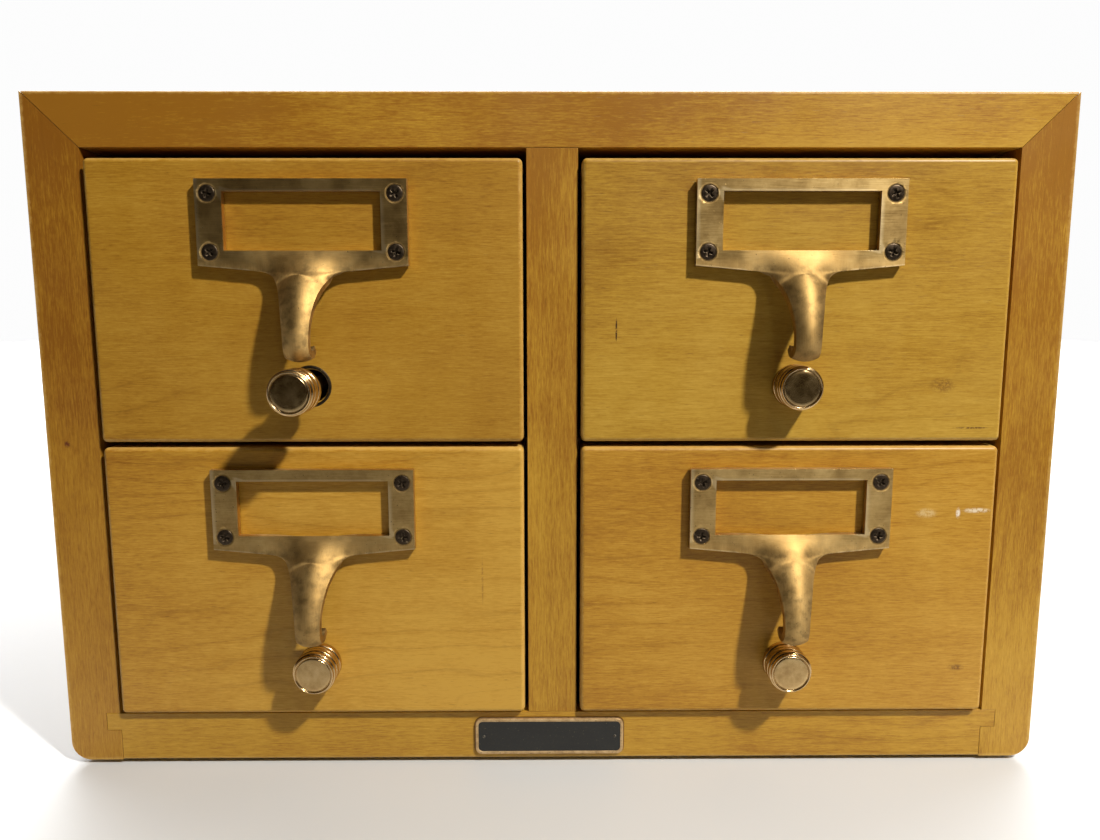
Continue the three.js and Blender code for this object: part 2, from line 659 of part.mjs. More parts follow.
// The follower: a leaning block, a foot through the bottom's slot, and a plate that holds it down.
function followerBlock() {
  const low = GROOVE_HIGH + RUNNING_GAP;
  const baseFront = FOLLOWER_BACK - FOLLOWER_BASE_DEPTH;
  const side = outline([
    [baseFront, low],
    [FOLLOWER_BACK, low],
    [FOLLOWER_BACK, low + FOLLOWER_HEIGHT],
    [FOLLOWER_BACK - FOLLOWER_TOP_DEPTH, low + FOLLOWER_HEIGHT],
  ]);
  const middle = FOLLOWER_BACK - FOLLOWER_BASE_DEPTH / 2;
  const footFront = middle - FOOT_DEPTH / 2;
  const footBack = middle + FOOT_DEPTH / 2;
  const plateTop = GROOVE_LOW - RUNNING_GAP;
  const plateLow = plateTop - FOOT_PLATE_THICKNESS;
  const foot = block([-FOOT_WIDTH / 2, footFront, plateLow], [FOOT_WIDTH / 2, footBack, low + 1]);
  const halfPlate = FOOT_PLATE_WIDTH / 2;
  const plate = block([-halfPlate, footFront, plateLow], [halfPlate, footBack, plateTop]);
  const front = baseFront - 1;
  const rear = FOLLOWER_BACK + 1;
  const hole = [[0, front], [FOLLOWER_HOLE_RADIUS, front], [FOLLOWER_HOLE_RADIUS, rear], [0, rear]];
  return alongX(side, -FOLLOWER_WIDTH / 2, FOLLOWER_WIDTH / 2)
    .add(foot)
    .add(plate)
    .subtract(turned(hole, 12, 0, ROD_HEIGHT));
}

// The case's eight pieces.
function buildCase() {
  return [
    piece("top_panel", topPanel(), MAPLE),
    piece("left_side_panel", sidePanel(-1), MAPLE),
    piece("right_side_panel", sidePanel(1), MAPLE),
    piece("bottom_panel", bottomPanel(), MAPLE),
    piece("center_divider", centerDivider(), MAPLE),
    piece("shelf", shelf(), TRAY_WOOD),
    piece("back_panel", backPanel(), BACK_WOOD),
    piece("name_plate", namePlate(), PLATE_BLACK, PLATE_X, -PLATE_GAP, PLATE_Z),
  ];
}

// The solids that all four drawers share.
const SHARED = {
  leftSide: traySide(-1),
  rightSide: traySide(1),
  back: trayBack(),
  bottom: trayBottom(),
  pull: pull(),
  screw: screw(),
  rod: guideRod(),
  knob: rodKnob(),
  follower: followerBlock(),
};

// One drawer, in its own group: the origin is under the middle of its front, level with the case's.
function buildDrawer(name, column, bottom, height, pulled) {
  const pullTop = height - PULL_DROP;
  const screws = screwPlaces().map(([x, z], i) =>
    piece(`${name}_pull_screw_${i + 1}`, SHARED.screw, SCREW_BLACK, x, 0, z),
  );
  return group(
    column * COLUMN_OFFSET,
    0,
    bottom,
    piece(`${name}_drawer_front`, drawerFront(height), MAPLE_FRONT),
    piece(`${name}_tray_left_side`, SHARED.leftSide, TRAY_WOOD),
    piece(`${name}_tray_right_side`, SHARED.rightSide, TRAY_WOOD),
    piece(`${name}_tray_back`, SHARED.back, TRAY_WOOD),
    piece(`${name}_tray_bottom`, SHARED.bottom, TRAY_WOOD),
    piece(`${name}_follower_block`, SHARED.follower, TRAY_WOOD),
    group(0, 0, pullTop, piece(`${name}_pull`, SHARED.pull, PULL_BRASS), ...screws),
    group(
      0,
      -pulled,
      ROD_HEIGHT,
      piece(`${name}_guide_rod`, SHARED.rod, ROD_STEEL),
      piece(`${name}_rod_knob`, SHARED.knob, KNOB_BRASS),
    ),
  );
}

const cabinet = group(
  0,
  CASE_FRONT,
  0,
  ...buildCase(),
  buildDrawer("upper_left", -1, UPPER_FRONT_BOTTOM, UPPER_FRONT_HEIGHT, ROD_PULLED),
  buildDrawer("upper_right", 1, UPPER_FRONT_BOTTOM, UPPER_FRONT_HEIGHT, 0),
  buildDrawer("lower_left", -1, LOWER_FRONT_BOTTOM, LOWER_FRONT_HEIGHT, 0),
  buildDrawer("lower_right", 1, LOWER_FRONT_BOTTOM, LOWER_FRONT_HEIGHT, 0),
);

export default cabinet;
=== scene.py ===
"""Looks of the four-drawer card catalog cabinet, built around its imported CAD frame.

Metres, in the frame's own axes: +X to the right, +Y to the back, +Z up. Every piece's vertices are in
the frame, so an object's own coordinates are its place at rest and every texture keeps to its board.
"""
import math
import random

import bmesh
import bpy
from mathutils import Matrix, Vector


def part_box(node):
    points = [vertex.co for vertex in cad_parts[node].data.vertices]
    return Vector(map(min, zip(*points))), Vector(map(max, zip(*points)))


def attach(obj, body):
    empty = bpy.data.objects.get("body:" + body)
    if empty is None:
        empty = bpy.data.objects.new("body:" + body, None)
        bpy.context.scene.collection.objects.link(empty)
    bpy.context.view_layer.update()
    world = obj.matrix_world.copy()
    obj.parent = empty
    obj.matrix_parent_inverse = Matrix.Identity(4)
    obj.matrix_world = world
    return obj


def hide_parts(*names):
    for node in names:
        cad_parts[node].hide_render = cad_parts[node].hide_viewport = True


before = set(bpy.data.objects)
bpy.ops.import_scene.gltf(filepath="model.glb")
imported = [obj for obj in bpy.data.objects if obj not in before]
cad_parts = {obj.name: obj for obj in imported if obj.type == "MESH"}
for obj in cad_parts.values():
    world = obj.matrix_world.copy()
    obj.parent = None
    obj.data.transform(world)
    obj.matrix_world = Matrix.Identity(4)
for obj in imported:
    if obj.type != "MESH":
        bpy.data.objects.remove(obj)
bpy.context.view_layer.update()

MM = 0.001
ACROSS, DEEP, UP = 0, 1, 2
DRAWERS = ("upper_left", "upper_right", "lower_left", "lower_right")

# How far the edges of the boards are eased, in millimetres
CASE_EDGE = 1.0
JOINT_EDGE = 0.22
TRAY_EDGE = 0.15
FRONT_EDGE = 0.25
FOLLOWER_EDGE = 0.8
SHARP_ANGLE = math.radians(40)

PLATE_RADIUS = 2.6


# ---------------------------------------------------------------------------------------------
# Node trees
# ---------------------------------------------------------------------------------------------


class Nodes:
    """A short way to write a node tree: every method returns the output socket it makes."""

    def __init__(self, tree):
        self.tree = tree

    def add(self, kind, **settings):
        node = self.tree.nodes.new(kind)
        for key, value in settings.items():
            setattr(node, key, value)
        return node

    def put(self, socket, value):
        """Links a socket to the input, or sets the input's own value."""
        if isinstance(value, bpy.types.NodeSocket):
            self.tree.links.new(value, socket)
        elif value is not None:
            socket.default_value = value

    def position(self):
        """The point's place in the frame at rest, in millimetres."""
        place = self.add("ShaderNodeTexCoord").outputs["Object"]
        scaled = self.add("ShaderNodeVectorMath", operation="SCALE")
        self.put(scaled.inputs[0], place)
        self.put(scaled.inputs["Scale"], 1 / MM)
        return scaled.outputs[0]

    def math(self, operation, a, b=None):
        node = self.add("ShaderNodeMath", operation=operation)
        self.put(node.inputs[0], a)
        self.put(node.inputs[1], b)
        return node.outputs[0]

    def times(self, a, b):
        return self.math("MULTIPLY", a, b)

    def total(self, *terms):
        result = terms[0]
        for term in terms[1:]:
            result = self.math("ADD", result, term)
        return result

    def split(self, vector):
        node = self.add("ShaderNodeSeparateXYZ")
        self.put(node.inputs[0], vector)
        return node.outputs[0], node.outputs[1], node.outputs[2]

    def join(self, x, y, z):
        node = self.add("ShaderNodeCombineXYZ")
        for socket, value in zip(node.inputs, (x, y, z)):
            self.put(socket, value)
        return node.outputs[0]

    def stretch(self, vector, x, y, z):
        node = self.add("ShaderNodeVectorMath", operation="MULTIPLY")
        self.put(node.inputs[0], vector)
        self.put(node.inputs[1], (x, y, z))
        return node.outputs[0]

    def shift(self, vector, amount):
        node = self.add("ShaderNodeVectorMath", operation="ADD")
        self.put(node.inputs[0], vector)
        self.put(node.inputs[1], amount)
        return node.outputs[0]

    def length(self, vector):
        node = self.add("ShaderNodeVectorMath", operation="LENGTH")
        self.put(node.inputs[0], vector)
        return node.outputs["Value"]

    def noise(self, vector, scale=1.0, detail=2.0, roughness=0.5, distortion=0.0):
        node = self.add("ShaderNodeTexNoise")
        self.put(node.inputs["Vector"], vector)
        for name, value in (("Scale", scale), ("Detail", detail), ("Roughness", roughness)):
            self.put(node.inputs[name], value)
        self.put(node.inputs["Distortion"], distortion)
        return node.outputs["Fac"]

    def remap(self, value, low, high, to_low=0.0, to_high=1.0, smooth=False):
        kind = "SMOOTHSTEP" if smooth else "LINEAR"
        node = self.add("ShaderNodeMapRange", interpolation_type=kind)
        for socket, number in zip(node.inputs, (value, low, high, to_low, to_high)):
            self.put(socket, number)
        return node.outputs[0]

    def ramp(self, factor, *stops):
        """Colours at positions from 0 to 1: each stop is (position, (red, green, blue))."""
        node = self.add("ShaderNodeValToRGB")
        elements = node.color_ramp.elements
        while len(elements) < len(stops):
            elements.new(0.5)
        for element, (place, colour) in zip(elements, stops):
            element.position = place
            element.color = (*colour, 1)
        self.put(node.inputs[0], factor)
        return node.outputs[0]

    def mix(self, factor, a, b):
        node = self.add("ShaderNodeMix", data_type="RGBA")
        self.put(node.inputs[0], factor)
        self.put(node.inputs[6], a)
        self.put(node.inputs[7], b)
        return node.outputs[2]

    def bump(self, height, depth, strength=1.0, normal=None):
        node = self.add("ShaderNodeBump")
        self.put(node.inputs["Height"], height)
        self.put(node.inputs["Distance"], depth * MM)
        self.put(node.inputs["Strength"], strength)
        self.put(node.inputs["Normal"], normal)
        return node.outputs[0]

    def pointiness(self):
        """Over 0.5 on raised edges and under it in hollows."""
        return self.add("ShaderNodeNewGeometry").outputs["Pointiness"]

    def ball(self, vector, centre, radii, soft=0.35):
        """A spot: 0 past its radii, growing to 1 at the share soft of them. In millimetres."""
        moved = self.shift(vector, tuple(-c for c in centre))
        scaled = self.stretch(moved, *(1 / r for r in radii))
        return self.remap(self.length(scaled), 1, soft, smooth=True)


def material(name, metallic=0.0, coat=0.0, coat_roughness=0.03):
    """A material with a Principled shader, whose uniform values are set on its own sockets."""
    made = bpy.data.materials.new(name)
    made.use_nodes = True
    shader = made.node_tree.nodes["Principled BSDF"]
    shader.inputs["Metallic"].default_value = metallic
    shader.inputs["Coat Weight"].default_value = coat
    shader.inputs["Coat Roughness"].default_value = coat_roughness
    return made, Nodes(made.node_tree), shader


# ---------------------------------------------------------------------------------------------
# Wood
# ---------------------------------------------------------------------------------------------

# Each wood's dark, middle and light colour
HONEY = ((0.275, 0.114, 0.009), (0.435, 0.233, 0.022), (0.555, 0.332, 0.046))
AMBER = ((0.225, 0.084, 0.006), (0.37, 0.178, 0.015), (0.475, 0.262, 0.032))
WARM = ((0.265, 0.103, 0.008), (0.425, 0.213, 0.020), (0.55, 0.312, 0.046))
OLIVE = ((0.215, 0.085, 0.006), (0.35, 0.174, 0.015), (0.455, 0.258, 0.034))
TAN = ((0.25, 0.114, 0.009), (0.395, 0.218, 0.022), (0.505, 0.312, 0.047))
PALE = ((0.40, 0.235, 0.088), (0.55, 0.36, 0.165), (0.68, 0.48, 0.25))
PLY = ((0.28, 0.155, 0.056), (0.40, 0.24, 0.10), (0.50, 0.33, 0.16))
# The lighter edges' colour: worn varnish and a painted highlight
WORN_AND_LIT = (0.66, 0.43, 0.13)
# The dark band painted round the name plate
PLATE_BAND_DARK = (0.05, 0.022, 0.006)

# How much each layer of the grain moves the tone from dark (0) to light (1)
CLOUD_TONE = 0.85
STREAK_TONE = 0.3
FIBRE_TONE = 0.62
THREAD_TONE = 0.95
FLECK_TONE = 0.5
CURL_TONE = 0.26
RING_TONE = -0.11

# How far off the log's middle lies, in millimetres, and how fast its rings follow each other
LOG_MIDDLE = 140
RING_PACE = 0.72


def grain_space(g, axis, seed):
    """The place in millimetres with the grain's direction first, moved to a fresh part of the log."""
    x, y, z = g.split(g.position())
    along, across, through = {"X": (x, z, y), "Y": (y, x, z), "Z": (z, x, y)}[axis]
    dice = random.Random(seed)
    shift = [dice.uniform(-900, 900), dice.uniform(-300, 300), dice.uniform(60, 140)]
    return g.join(*(g.math("ADD", part, move) for part, move in zip((along, across, through), shift)))


def edge_distance(g, box):
    """How far the point is, in x and z, inside the nearest side of a box given in millimetres."""
    x, _, z = g.split(g.position())
    low, high = box
    sides = (
        g.math("SUBTRACT", x, low[ACROSS]),
        g.math("SUBTRACT", high[ACROSS], x),
        g.math("SUBTRACT", z, low[UP]),
        g.math("SUBTRACT", high[UP], z),
    )
    nearest = sides[0]
    for side in sides[1:]:
        nearest = g.math("MINIMUM", nearest, side)
    return nearest


def outline_distance(g, box, radius):
    """How far the point is, in x and z, outside a box with rounded corners, in millimetres."""
    parts = g.split(g.position())
    low, high = box
    past = []
    for axis in (ACROSS, UP):
        middle = (low[axis] + high[axis]) / 2
        half = (high[axis] - low[axis]) / 2 - radius
        offset = g.math("ABSOLUTE", g.math("SUBTRACT", parts[axis], middle))
        past.append(g.math("MAXIMUM", g.math("SUBTRACT", offset, half), 0))
    return g.math("SUBTRACT", g.length(g.join(past[0], 0, past[1])), radius)


def wood(name, axis, seed, tones, gloss=1.0, figure=1.0, painted_light_ramps=(), edges=None, darkened_area=None, marks=()):
    """Varnished maple with its grain along an axis, the figure drawn weaker or stronger.

    Each ramp of painted light and shade is (direction, low, high, change): the tone changes between two
    places in the frame. edges is the box whose sides are lightened, partly varnish rubbed off and partly
    a painted highlight on the eased edges. The box given for the darkened area is a plate's, with a dark
    band painted round its front. marks are (centre, radii, colour, strength) spots. All places are in
    millimetres.
    """
    made, g, shader = material(name, coat=0.12 * gloss, coat_roughness=0.3)
    place = grain_space(g, axis, seed)
    warp = g.noise(g.stretch(place, 0.0045, 0.016, 0.016), detail=3)
    fine_warp = g.noise(g.stretch(place, 0.014, 0.07, 0.07), detail=2)

    # Growth rings round the log's middle, bent by the warp, and clear only here and there
    _, across, through = g.split(place)
    log = g.length(g.join(0, g.math("ADD", across, LOG_MIDDLE), g.times(through, 1.6)))
    bent = g.total(log, g.times(warp, 85), g.times(fine_warp, 6))
    wave = g.math("SINE", g.times(bent, RING_PACE))
    clear = g.remap(g.noise(g.stretch(place, 0.008, 0.02, 0.02), detail=2), 0.46, 0.66, smooth=True)
    rings = g.times(g.math("POWER", g.remap(wave, -1, 1), 3), clear)
    line = g.times(g.remap(wave, 0.955, 0.995, smooth=True), clear)

    # Fibres, short pores and broad clouds of stain
    streaks = g.noise(g.stretch(place, 0.005, 0.14, 0.14), detail=4, roughness=0.6)
    fibres = g.noise(g.stretch(place, 0.075, 1.05, 1.05), detail=5, roughness=0.65)
    threads = g.noise(g.stretch(place, 0.2, 2.7, 2.7), detail=3, roughness=0.62)
    flecks = g.noise(g.stretch(place, 0.45, 1.3, 1.3), detail=4, roughness=0.7)
    pores = g.remap(g.noise(g.stretch(place, 0.22, 2.6, 2.6), detail=2), 0.66, 0.78, smooth=True)
    clouds = g.noise(g.stretch(place, 0.010, 0.022, 0.022), detail=5, roughness=0.55)
    curl = g.noise(g.stretch(place, 0.06, 0.016, 0.016), detail=2, distortion=0.4)

    layers = (
        (clouds, CLOUD_TONE),
        (streaks, STREAK_TONE),
        (fibres, FIBRE_TONE),
        (threads, THREAD_TONE),
        (flecks, FLECK_TONE),
        (curl, CURL_TONE),
    )
    swings = [g.times(g.math("SUBTRACT", layer, 0.5), weight) for layer, weight in layers]
    tone = g.total(0.5, *swings, g.times(rings, RING_TONE * figure))
    # Painted light and shade: the tone ramps up or down between two places in the frame
    for direction, low, high, change in painted_light_ramps:
        tone = g.math("ADD", tone, g.remap(g.split(g.position())[direction], low, high, 0, change))
    dark, middle, light = tones
    colour = g.ramp(tone, (0.08, dark), (0.5, middle), (0.95, light))
    deep = (*(0.5 * c for c in dark), 1)
    colour = g.mix(g.times(pores, 0.42), colour, deep)
    colour = g.mix(g.times(line, 0.13 * figure), colour, deep)
    if edges:
        # Lighter edges: partly varnish rubbed off, partly a painted highlight on the eased edges
        ragged = g.times(g.noise(g.position(), 0.35, detail=4, roughness=0.7), 2.6)
        wear_and_highlight = g.remap(g.math("SUBTRACT", edge_distance(g, edges), ragged), -1.5, 0.0, 0.55, 0)
        colour = g.mix(wear_and_highlight, colour, (*WORN_AND_LIT, 1))
    # A dark band painted on the board round the plate's front
    if darkened_area:
        plate_band = g.remap(outline_distance(g, darkened_area, PLATE_RADIUS), 0.1, 0.65, 0.85, 0, smooth=True)
        back = darkened_area[1][DEEP]
        in_front = g.remap(g.split(g.position())[DEEP], back + 0.5, back + 1.5, 1, 0)
        colour = g.mix(g.times(plate_band, in_front), colour, (*PLATE_BAND_DARK, 1))
    for centre, radii, stain, strength in marks:
        spot = g.ball(g.position(), centre, radii)
        broken = g.remap(g.noise(g.position(), 0.9, detail=3, roughness=0.7), 0.36, 0.56)
        worn = g.times(g.times(spot, broken), strength)
        colour = g.mix(worn, colour, (*stain, 1))
    g.put(shader.inputs["Base Color"], colour)

    rubbed = g.noise(g.position(), 0.03, detail=3)
    rough = g.remap(rubbed, 0.3, 0.7, 0.36 + 0.16 * (1 - gloss), 0.5 + 0.2 * (1 - gloss))
    g.put(shader.inputs["Roughness"], g.math("ADD", rough, g.times(fibres, 0.06)))
    shader.inputs["Specular IOR Level"].default_value = 0.27
    height = g.total(g.times(fibres, 0.5), g.times(threads, 0.3), g.times(pores, -0.9))
    skin = g.bump(g.noise(g.position(), 0.16, detail=2), 0.12, 0.35)
    relief = g.bump(height, 0.05, 0.55, skin)
    g.put(shader.inputs["Normal"], relief)
    g.put(shader.inputs["Coat Normal"], skin)
    return made


# ---------------------------------------------------------------------------------------------
# Metal and enamel
# ---------------------------------------------------------------------------------------------

# Painted light and shade: how much lighter or darker the brass of each pull is painted, and the brass's
# dark, middle and bright colour
PULL_PAINTED_BRIGHTNESS = {"upper_left": 1.16, "upper_right": 0.87, "lower_left": 0.97, "lower_right": 1.0}
PULL_TONES = ((0.4, 0.243, 0.078), (0.57, 0.372, 0.135), (0.7, 0.49, 0.2))

# How far under the frame's top edge, in millimetres, the brushing turns and the mound starts, and how
# far to either side the mound fades out
TONGUE_TURN = (26, 33)
MOUND_START = (19.5, 22.5)
MOUND_FADE = (13, 25)
# How far round each screw the painted shade reaches, in millimetres
SCREW_SHADE = 3.9


def pull_brass(name, top, screws, painted_brightness):
    """Antique satin brass, brushed along the frame and down the tongue, with painted shade in the
    countersinks round the screws and on the mound.

    top is the height of the frame's top edge and screws are the middles of the screw heads, both in
    millimetres. The last argument is painted light and shade: how much lighter or darker the metal is
    painted.
    """
    made, g, shader = material(name, metallic=1.0)
    place = g.position()
    middle_x = sum(centre[ACROSS] for centre in screws) / len(screws)
    clouds = g.noise(place, 0.085, detail=4, roughness=0.6)
    mottle = g.noise(place, 0.6, detail=4, roughness=0.65)
    side = g.noise(g.stretch(place, 0.14, 5.2, 5.2), detail=3)
    down = g.noise(g.stretch(place, 5.2, 1.0, 0.14), detail=3)
    x, _, z = g.split(place)
    is_frame = g.remap(z, top - TONGUE_TURN[1], top - TONGUE_TURN[0], smooth=True)
    is_tongue = g.math("SUBTRACT", 1, is_frame)
    below = g.remap(z, top - MOUND_START[0], top - MOUND_START[1], smooth=True)
    aside = g.math("ABSOLUTE", g.math("SUBTRACT", x, middle_x))
    mound = g.times(below, g.remap(aside, MOUND_FADE[1], MOUND_FADE[0], smooth=True))
    brush = g.math("ADD", g.times(side, is_frame), g.times(down, is_tongue))
    tone = g.total(g.times(clouds, 0.5), g.times(mottle, 0.2), g.times(brush, 0.3))
    dark, middle, bright = (tuple(painted_brightness * part for part in shade) for shade in PULL_TONES)
    colour = g.ramp(tone, (0.35, dark), (0.5, middle), (0.64, bright))
    worn = g.remap(g.pointiness(), 0.52, 0.6, smooth=True)
    colour = g.mix(g.times(worn, 0.6), colour, (0.83, 0.65, 0.36, 1))
    # Mottled tarnish on the tongue; on the mound under the window it is partly painted shade that dims the
    # highlight there
    tarnish = g.remap(g.noise(place, 0.3, detail=5, roughness=0.62), 0.45, 0.64, 0.3, 0.78)
    tarnish_and_mound_shade = g.math("MAXIMUM", is_tongue, g.times(mound, 0.55))
    colour = g.mix(g.times(tarnish, tarnish_and_mound_shade), colour, (0.2, 0.125, 0.045, 1))
    pits = g.remap(g.noise(place, 1.3, detail=1), 0.74, 0.79, smooth=True)
    colour = g.mix(g.times(pits, 0.8), colour, (0.07, 0.05, 0.03, 1))
    rough = g.total(g.remap(clouds, 0.3, 0.7, 0.25, 0.35), g.times(brush, 0.12))
    # Painted shade: the brass darkens in the countersink round each screw
    for centre in screws:
        ring = g.ball(place, centre, (SCREW_SHADE, SCREW_SHADE, SCREW_SHADE), 0.78)
        colour = g.mix(g.times(ring, 0.62), colour, (0.05, 0.034, 0.016, 1))
        rough = g.math("ADD", rough, g.times(ring, 0.5))
    g.put(shader.inputs["Base Color"], colour)
    curved = g.math("MAXIMUM", is_tongue, mound)
    g.put(shader.inputs["Roughness"], g.math("ADD", rough, g.times(curved, 0.25)))
    shader.inputs["Anisotropic"].default_value = 0.45
    shader.inputs["Anisotropic Rotation"].default_value = 0.25
    g.put(shader.inputs["Normal"], g.bump(g.math("SUBTRACT", brush, pits), 0.035, 0.6))
    return made


def knob_brass(name):
    """Handled brass with a coppery tone, turned on a lathe: fine rings and a few dark pits."""
    made, g, shader = material(name, metallic=1.0)
    place = g.position()
    radius = g.add("ShaderNodeAttribute", attribute_name="radius").outputs["Fac"]
    clouds = g.noise(place, 0.28, detail=4, roughness=0.6)
    turned = g.noise(g.join(radius, 0, 0), 5.0, detail=2)
    dark, middle, bright = (0.44, 0.285, 0.118), (0.57, 0.39, 0.172), (0.66, 0.47, 0.225)
    colour = g.ramp(clouds, (0.3, dark), (0.5, middle), (0.7, bright))
    pits = g.remap(g.noise(place, 1.1, detail=1), 0.83, 0.86, smooth=True)
    colour = g.mix(g.times(pits, 0.85), colour, (0.05, 0.035, 0.025, 1))
    worn = g.remap(g.pointiness(), 0.51, 0.58, smooth=True)
    colour = g.mix(g.times(worn, 0.5), colour, (0.86, 0.66, 0.42, 1))
    g.put(shader.inputs["Base Color"], colour)
    g.put(shader.inputs["Roughness"], g.remap(clouds, 0.3, 0.7, 0.17, 0.26))
    g.put(shader.inputs["Normal"], g.bump(g.math("SUBTRACT", turned, pits), 0.012, 0.3))
    return made


def steel():
    """Bright drawn rod, a little dulled, with scratches along it."""
    made, g, shader = material("drawn_steel", metallic=1.0)
    place = g.position()
    scratches = g.noise(g.stretch(place, 4, 0.05, 4), detail=3)
    spots = g.noise(place, 0.12, detail=4, roughness=0.65)
    colour = g.ramp(spots, (0.35, (0.3, 0.28, 0.25)), (0.6, (0.56, 0.55, 0.52)))
    g.put(shader.inputs["Base Color"], colour)
    g.put(shader.inputs["Roughness"], g.remap(spots, 0.3, 0.7, 0.46, 0.26))
    g.put(shader.inputs["Normal"], g.bump(scratches, 0.02, 0.4))
    return made


def blackened(name, dark, bright, rough):
    """Blackened brass: a dark colour in the hollows and a bright one on the rubbed rims."""
    made, g, shader = material(name, metallic=0.9)
    place = g.position()
    clouds = g.noise(place, 0.9, detail=4, roughness=0.65)
    worn = g.remap(g.pointiness(), 0.52, 0.62, smooth=True)
    rubbed = g.times(worn, g.remap(clouds, 0.35, 0.6))
    base = g.ramp(clouds, (0.35, dark), (0.7, tuple(1.9 * c for c in dark)))
    g.put(shader.inputs["Base Color"], g.mix(g.times(rubbed, 0.7), base, (*bright, 1)))
    g.put(shader.inputs["Roughness"], g.remap(clouds, 0.3, 0.7, rough, rough + 0.16))
    g.put(shader.inputs["Normal"], g.bump(g.noise(place, 3.5, detail=3), 0.03, 0.4))
    return made


def dull_brass(name):
    """Tan, unpolished brass with a dusty bloom and darker handling stains."""
    made, g, shader = material(name, metallic=0.65)
    place = g.position()
    clouds = g.noise(place, 0.35, detail=5, roughness=0.65)
    darkened_area = g.remap(g.noise(place, 1.1, detail=3), 0.56, 0.72)
    dark, middle, bright = (0.38, 0.24, 0.11), (0.55, 0.37, 0.18), (0.66, 0.47, 0.25)
    colour = g.ramp(clouds, (0.3, dark), (0.5, middle), (0.7, bright))
    colour = g.mix(g.times(darkened_area, 0.5), colour, (0.13, 0.075, 0.03, 1))
    g.put(shader.inputs["Base Color"], colour)
    g.put(shader.inputs["Roughness"], g.remap(clouds, 0.3, 0.7, 0.5, 0.38))
    g.put(shader.inputs["Normal"], g.bump(g.noise(place, 2.4, detail=3), 0.04, 0.4))
    return made


def enamel():
    """Black enamel on a brass plate: dust, fine scratches and a few chips."""
    made, g, shader = material("black_enamel", coat=0.08, coat_roughness=0.35)
    place = g.position()
    clouds = g.noise(place, 0.12, detail=4, roughness=0.6)
    dust = g.remap(g.noise(place, 1.4, detail=4, roughness=0.7), 0.55, 0.72)
    chips = g.remap(g.noise(place, 1.9, detail=2), 0.72, 0.76)
    colour = g.ramp(clouds, (0.35, (0.005, 0.0055, 0.005)), (0.7, (0.011, 0.0112, 0.0095)))
    colour = g.mix(g.times(dust, 0.06), colour, (0.3, 0.22, 0.12, 1))
    colour = g.mix(g.times(chips, 0.6), colour, (0.34, 0.24, 0.11, 1))
    g.put(shader.inputs["Base Color"], colour)
    g.put(shader.inputs["Roughness"], g.remap(clouds, 0.3, 0.7, 0.38, 0.55))
    scratches = g.noise(g.stretch(place, 0.25, 3.0, 3.0), detail=3)
    g.put(shader.inputs["Normal"], g.bump(g.math("SUBTRACT", scratches, chips), 0.03, 0.35))
    return made


# ---------------------------------------------------------------------------------------------
# Meshes
# ---------------------------------------------------------------------------------------------


def show(name, mesh, look, body, slot, *nodes):
    """Makes a shown piece of a mesh that is already in place, riding on a body."""
    piece = bpy.data.objects.new(name, mesh)
    bpy.context.scene.collection.objects.link(piece)
    mesh.materials.clear()
    mesh.materials.append(look)
    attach(piece, body)
    if nodes:
        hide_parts(*nodes)
    return piece


def finished(name, bm):
    """A smooth mesh of a bmesh, its faces turned outwards."""
    bmesh.ops.recalc_face_normals(bm, faces=bm.faces)
    for face in bm.faces:
        face.smooth = True
    mesh = bpy.data.meshes.new(name)
    bm.to_mesh(mesh)
    bm.free()
    return mesh


def applied(piece):
    """The piece's mesh with its modifiers applied; the piece itself is removed."""
    graph = bpy.context.evaluated_depsgraph_get()
    graph.update()
    mesh = bpy.data.meshes.new_from_object(piece.evaluated_get(graph))
    bpy.data.objects.remove(piece)
    return mesh


def scratch(mesh):
    """An object that only carries modifiers until they are applied."""
    piece = bpy.data.objects.new(mesh.name, mesh)
    bpy.context.scene.collection.objects.link(piece)
    return piece


def moved(mesh, name, offset):
    """A copy of a mesh drawn in millimetres round its own origin, placed in the frame."""
    copy = mesh.copy()
    copy.name = name
    for vertex in copy.vertices:
        vertex.co = Vector(offset) + vertex.co * MM
    return copy


def circle_points(radius, count):
    """Evenly spaced points (x, z) round a circle about the origin."""
    turns = [math.tau * i / count for i in range(count)]
    return [(radius * math.cos(turn), radius * math.sin(turn)) for turn in turns]


def loft(bm, loops, cap_first=True):
    """Joins rings of vertices one to the next, and closes the ends."""
    for near, far in zip(loops, loops[1:]):
        for i in range(len(near)):
            j = (i + 1) % len(near)
            bm.faces.new((near[i], near[j], far[j], far[i]))
    if cap_first:
        bm.faces.new(loops[0])
    bm.faces.new(loops[-1])


def turned_mesh(name, profile, segments):
    """A turned piece about Y: profile is (radius, distance out towards -Y), axis to axis, in mm."""
    bm = bmesh.new()
    radii = bm.verts.layers.float.new("radius")
    rings = []
    for radius, out in profile:
        ring = []
        for x, z in circle_points(radius, segments if radius else 1):
            vertex = bm.verts.new((x, -out, z))
            vertex[radii] = radius
            ring.append(vertex)
        rings.append(ring)
    for inner, outer in zip(rings, rings[1:]):
        for i in range(segments):
            j = (i + 1) % segments
            corners = [inner[k % len(inner)] for k in (i, j)] + [outer[k % len(outer)] for k in (j, i)]
            unique = list(dict.fromkeys(corners))
            if len(unique) > 2:
                bm.faces.new(unique)
    return finished(name, bm)


def soften(piece, width, segments=3, weighted=False):
    """Eases a piece's sharp edges and keeps its flat faces flat."""
    bevel = piece.modifiers.new("eased_edges", "BEVEL")
    bevel.width = width * MM
    bevel.segments = segments
    bevel.limit_method = "WEIGHT" if weighted else "ANGLE"
    bevel.angle_limit = SHARP_ANGLE
    normals = piece.modifiers.new("flat_faces", "WEIGHTED_NORMAL")
    normals.keep_sharp = True


# ---------------------------------------------------------------------------------------------
# Boards
# ---------------------------------------------------------------------------------------------


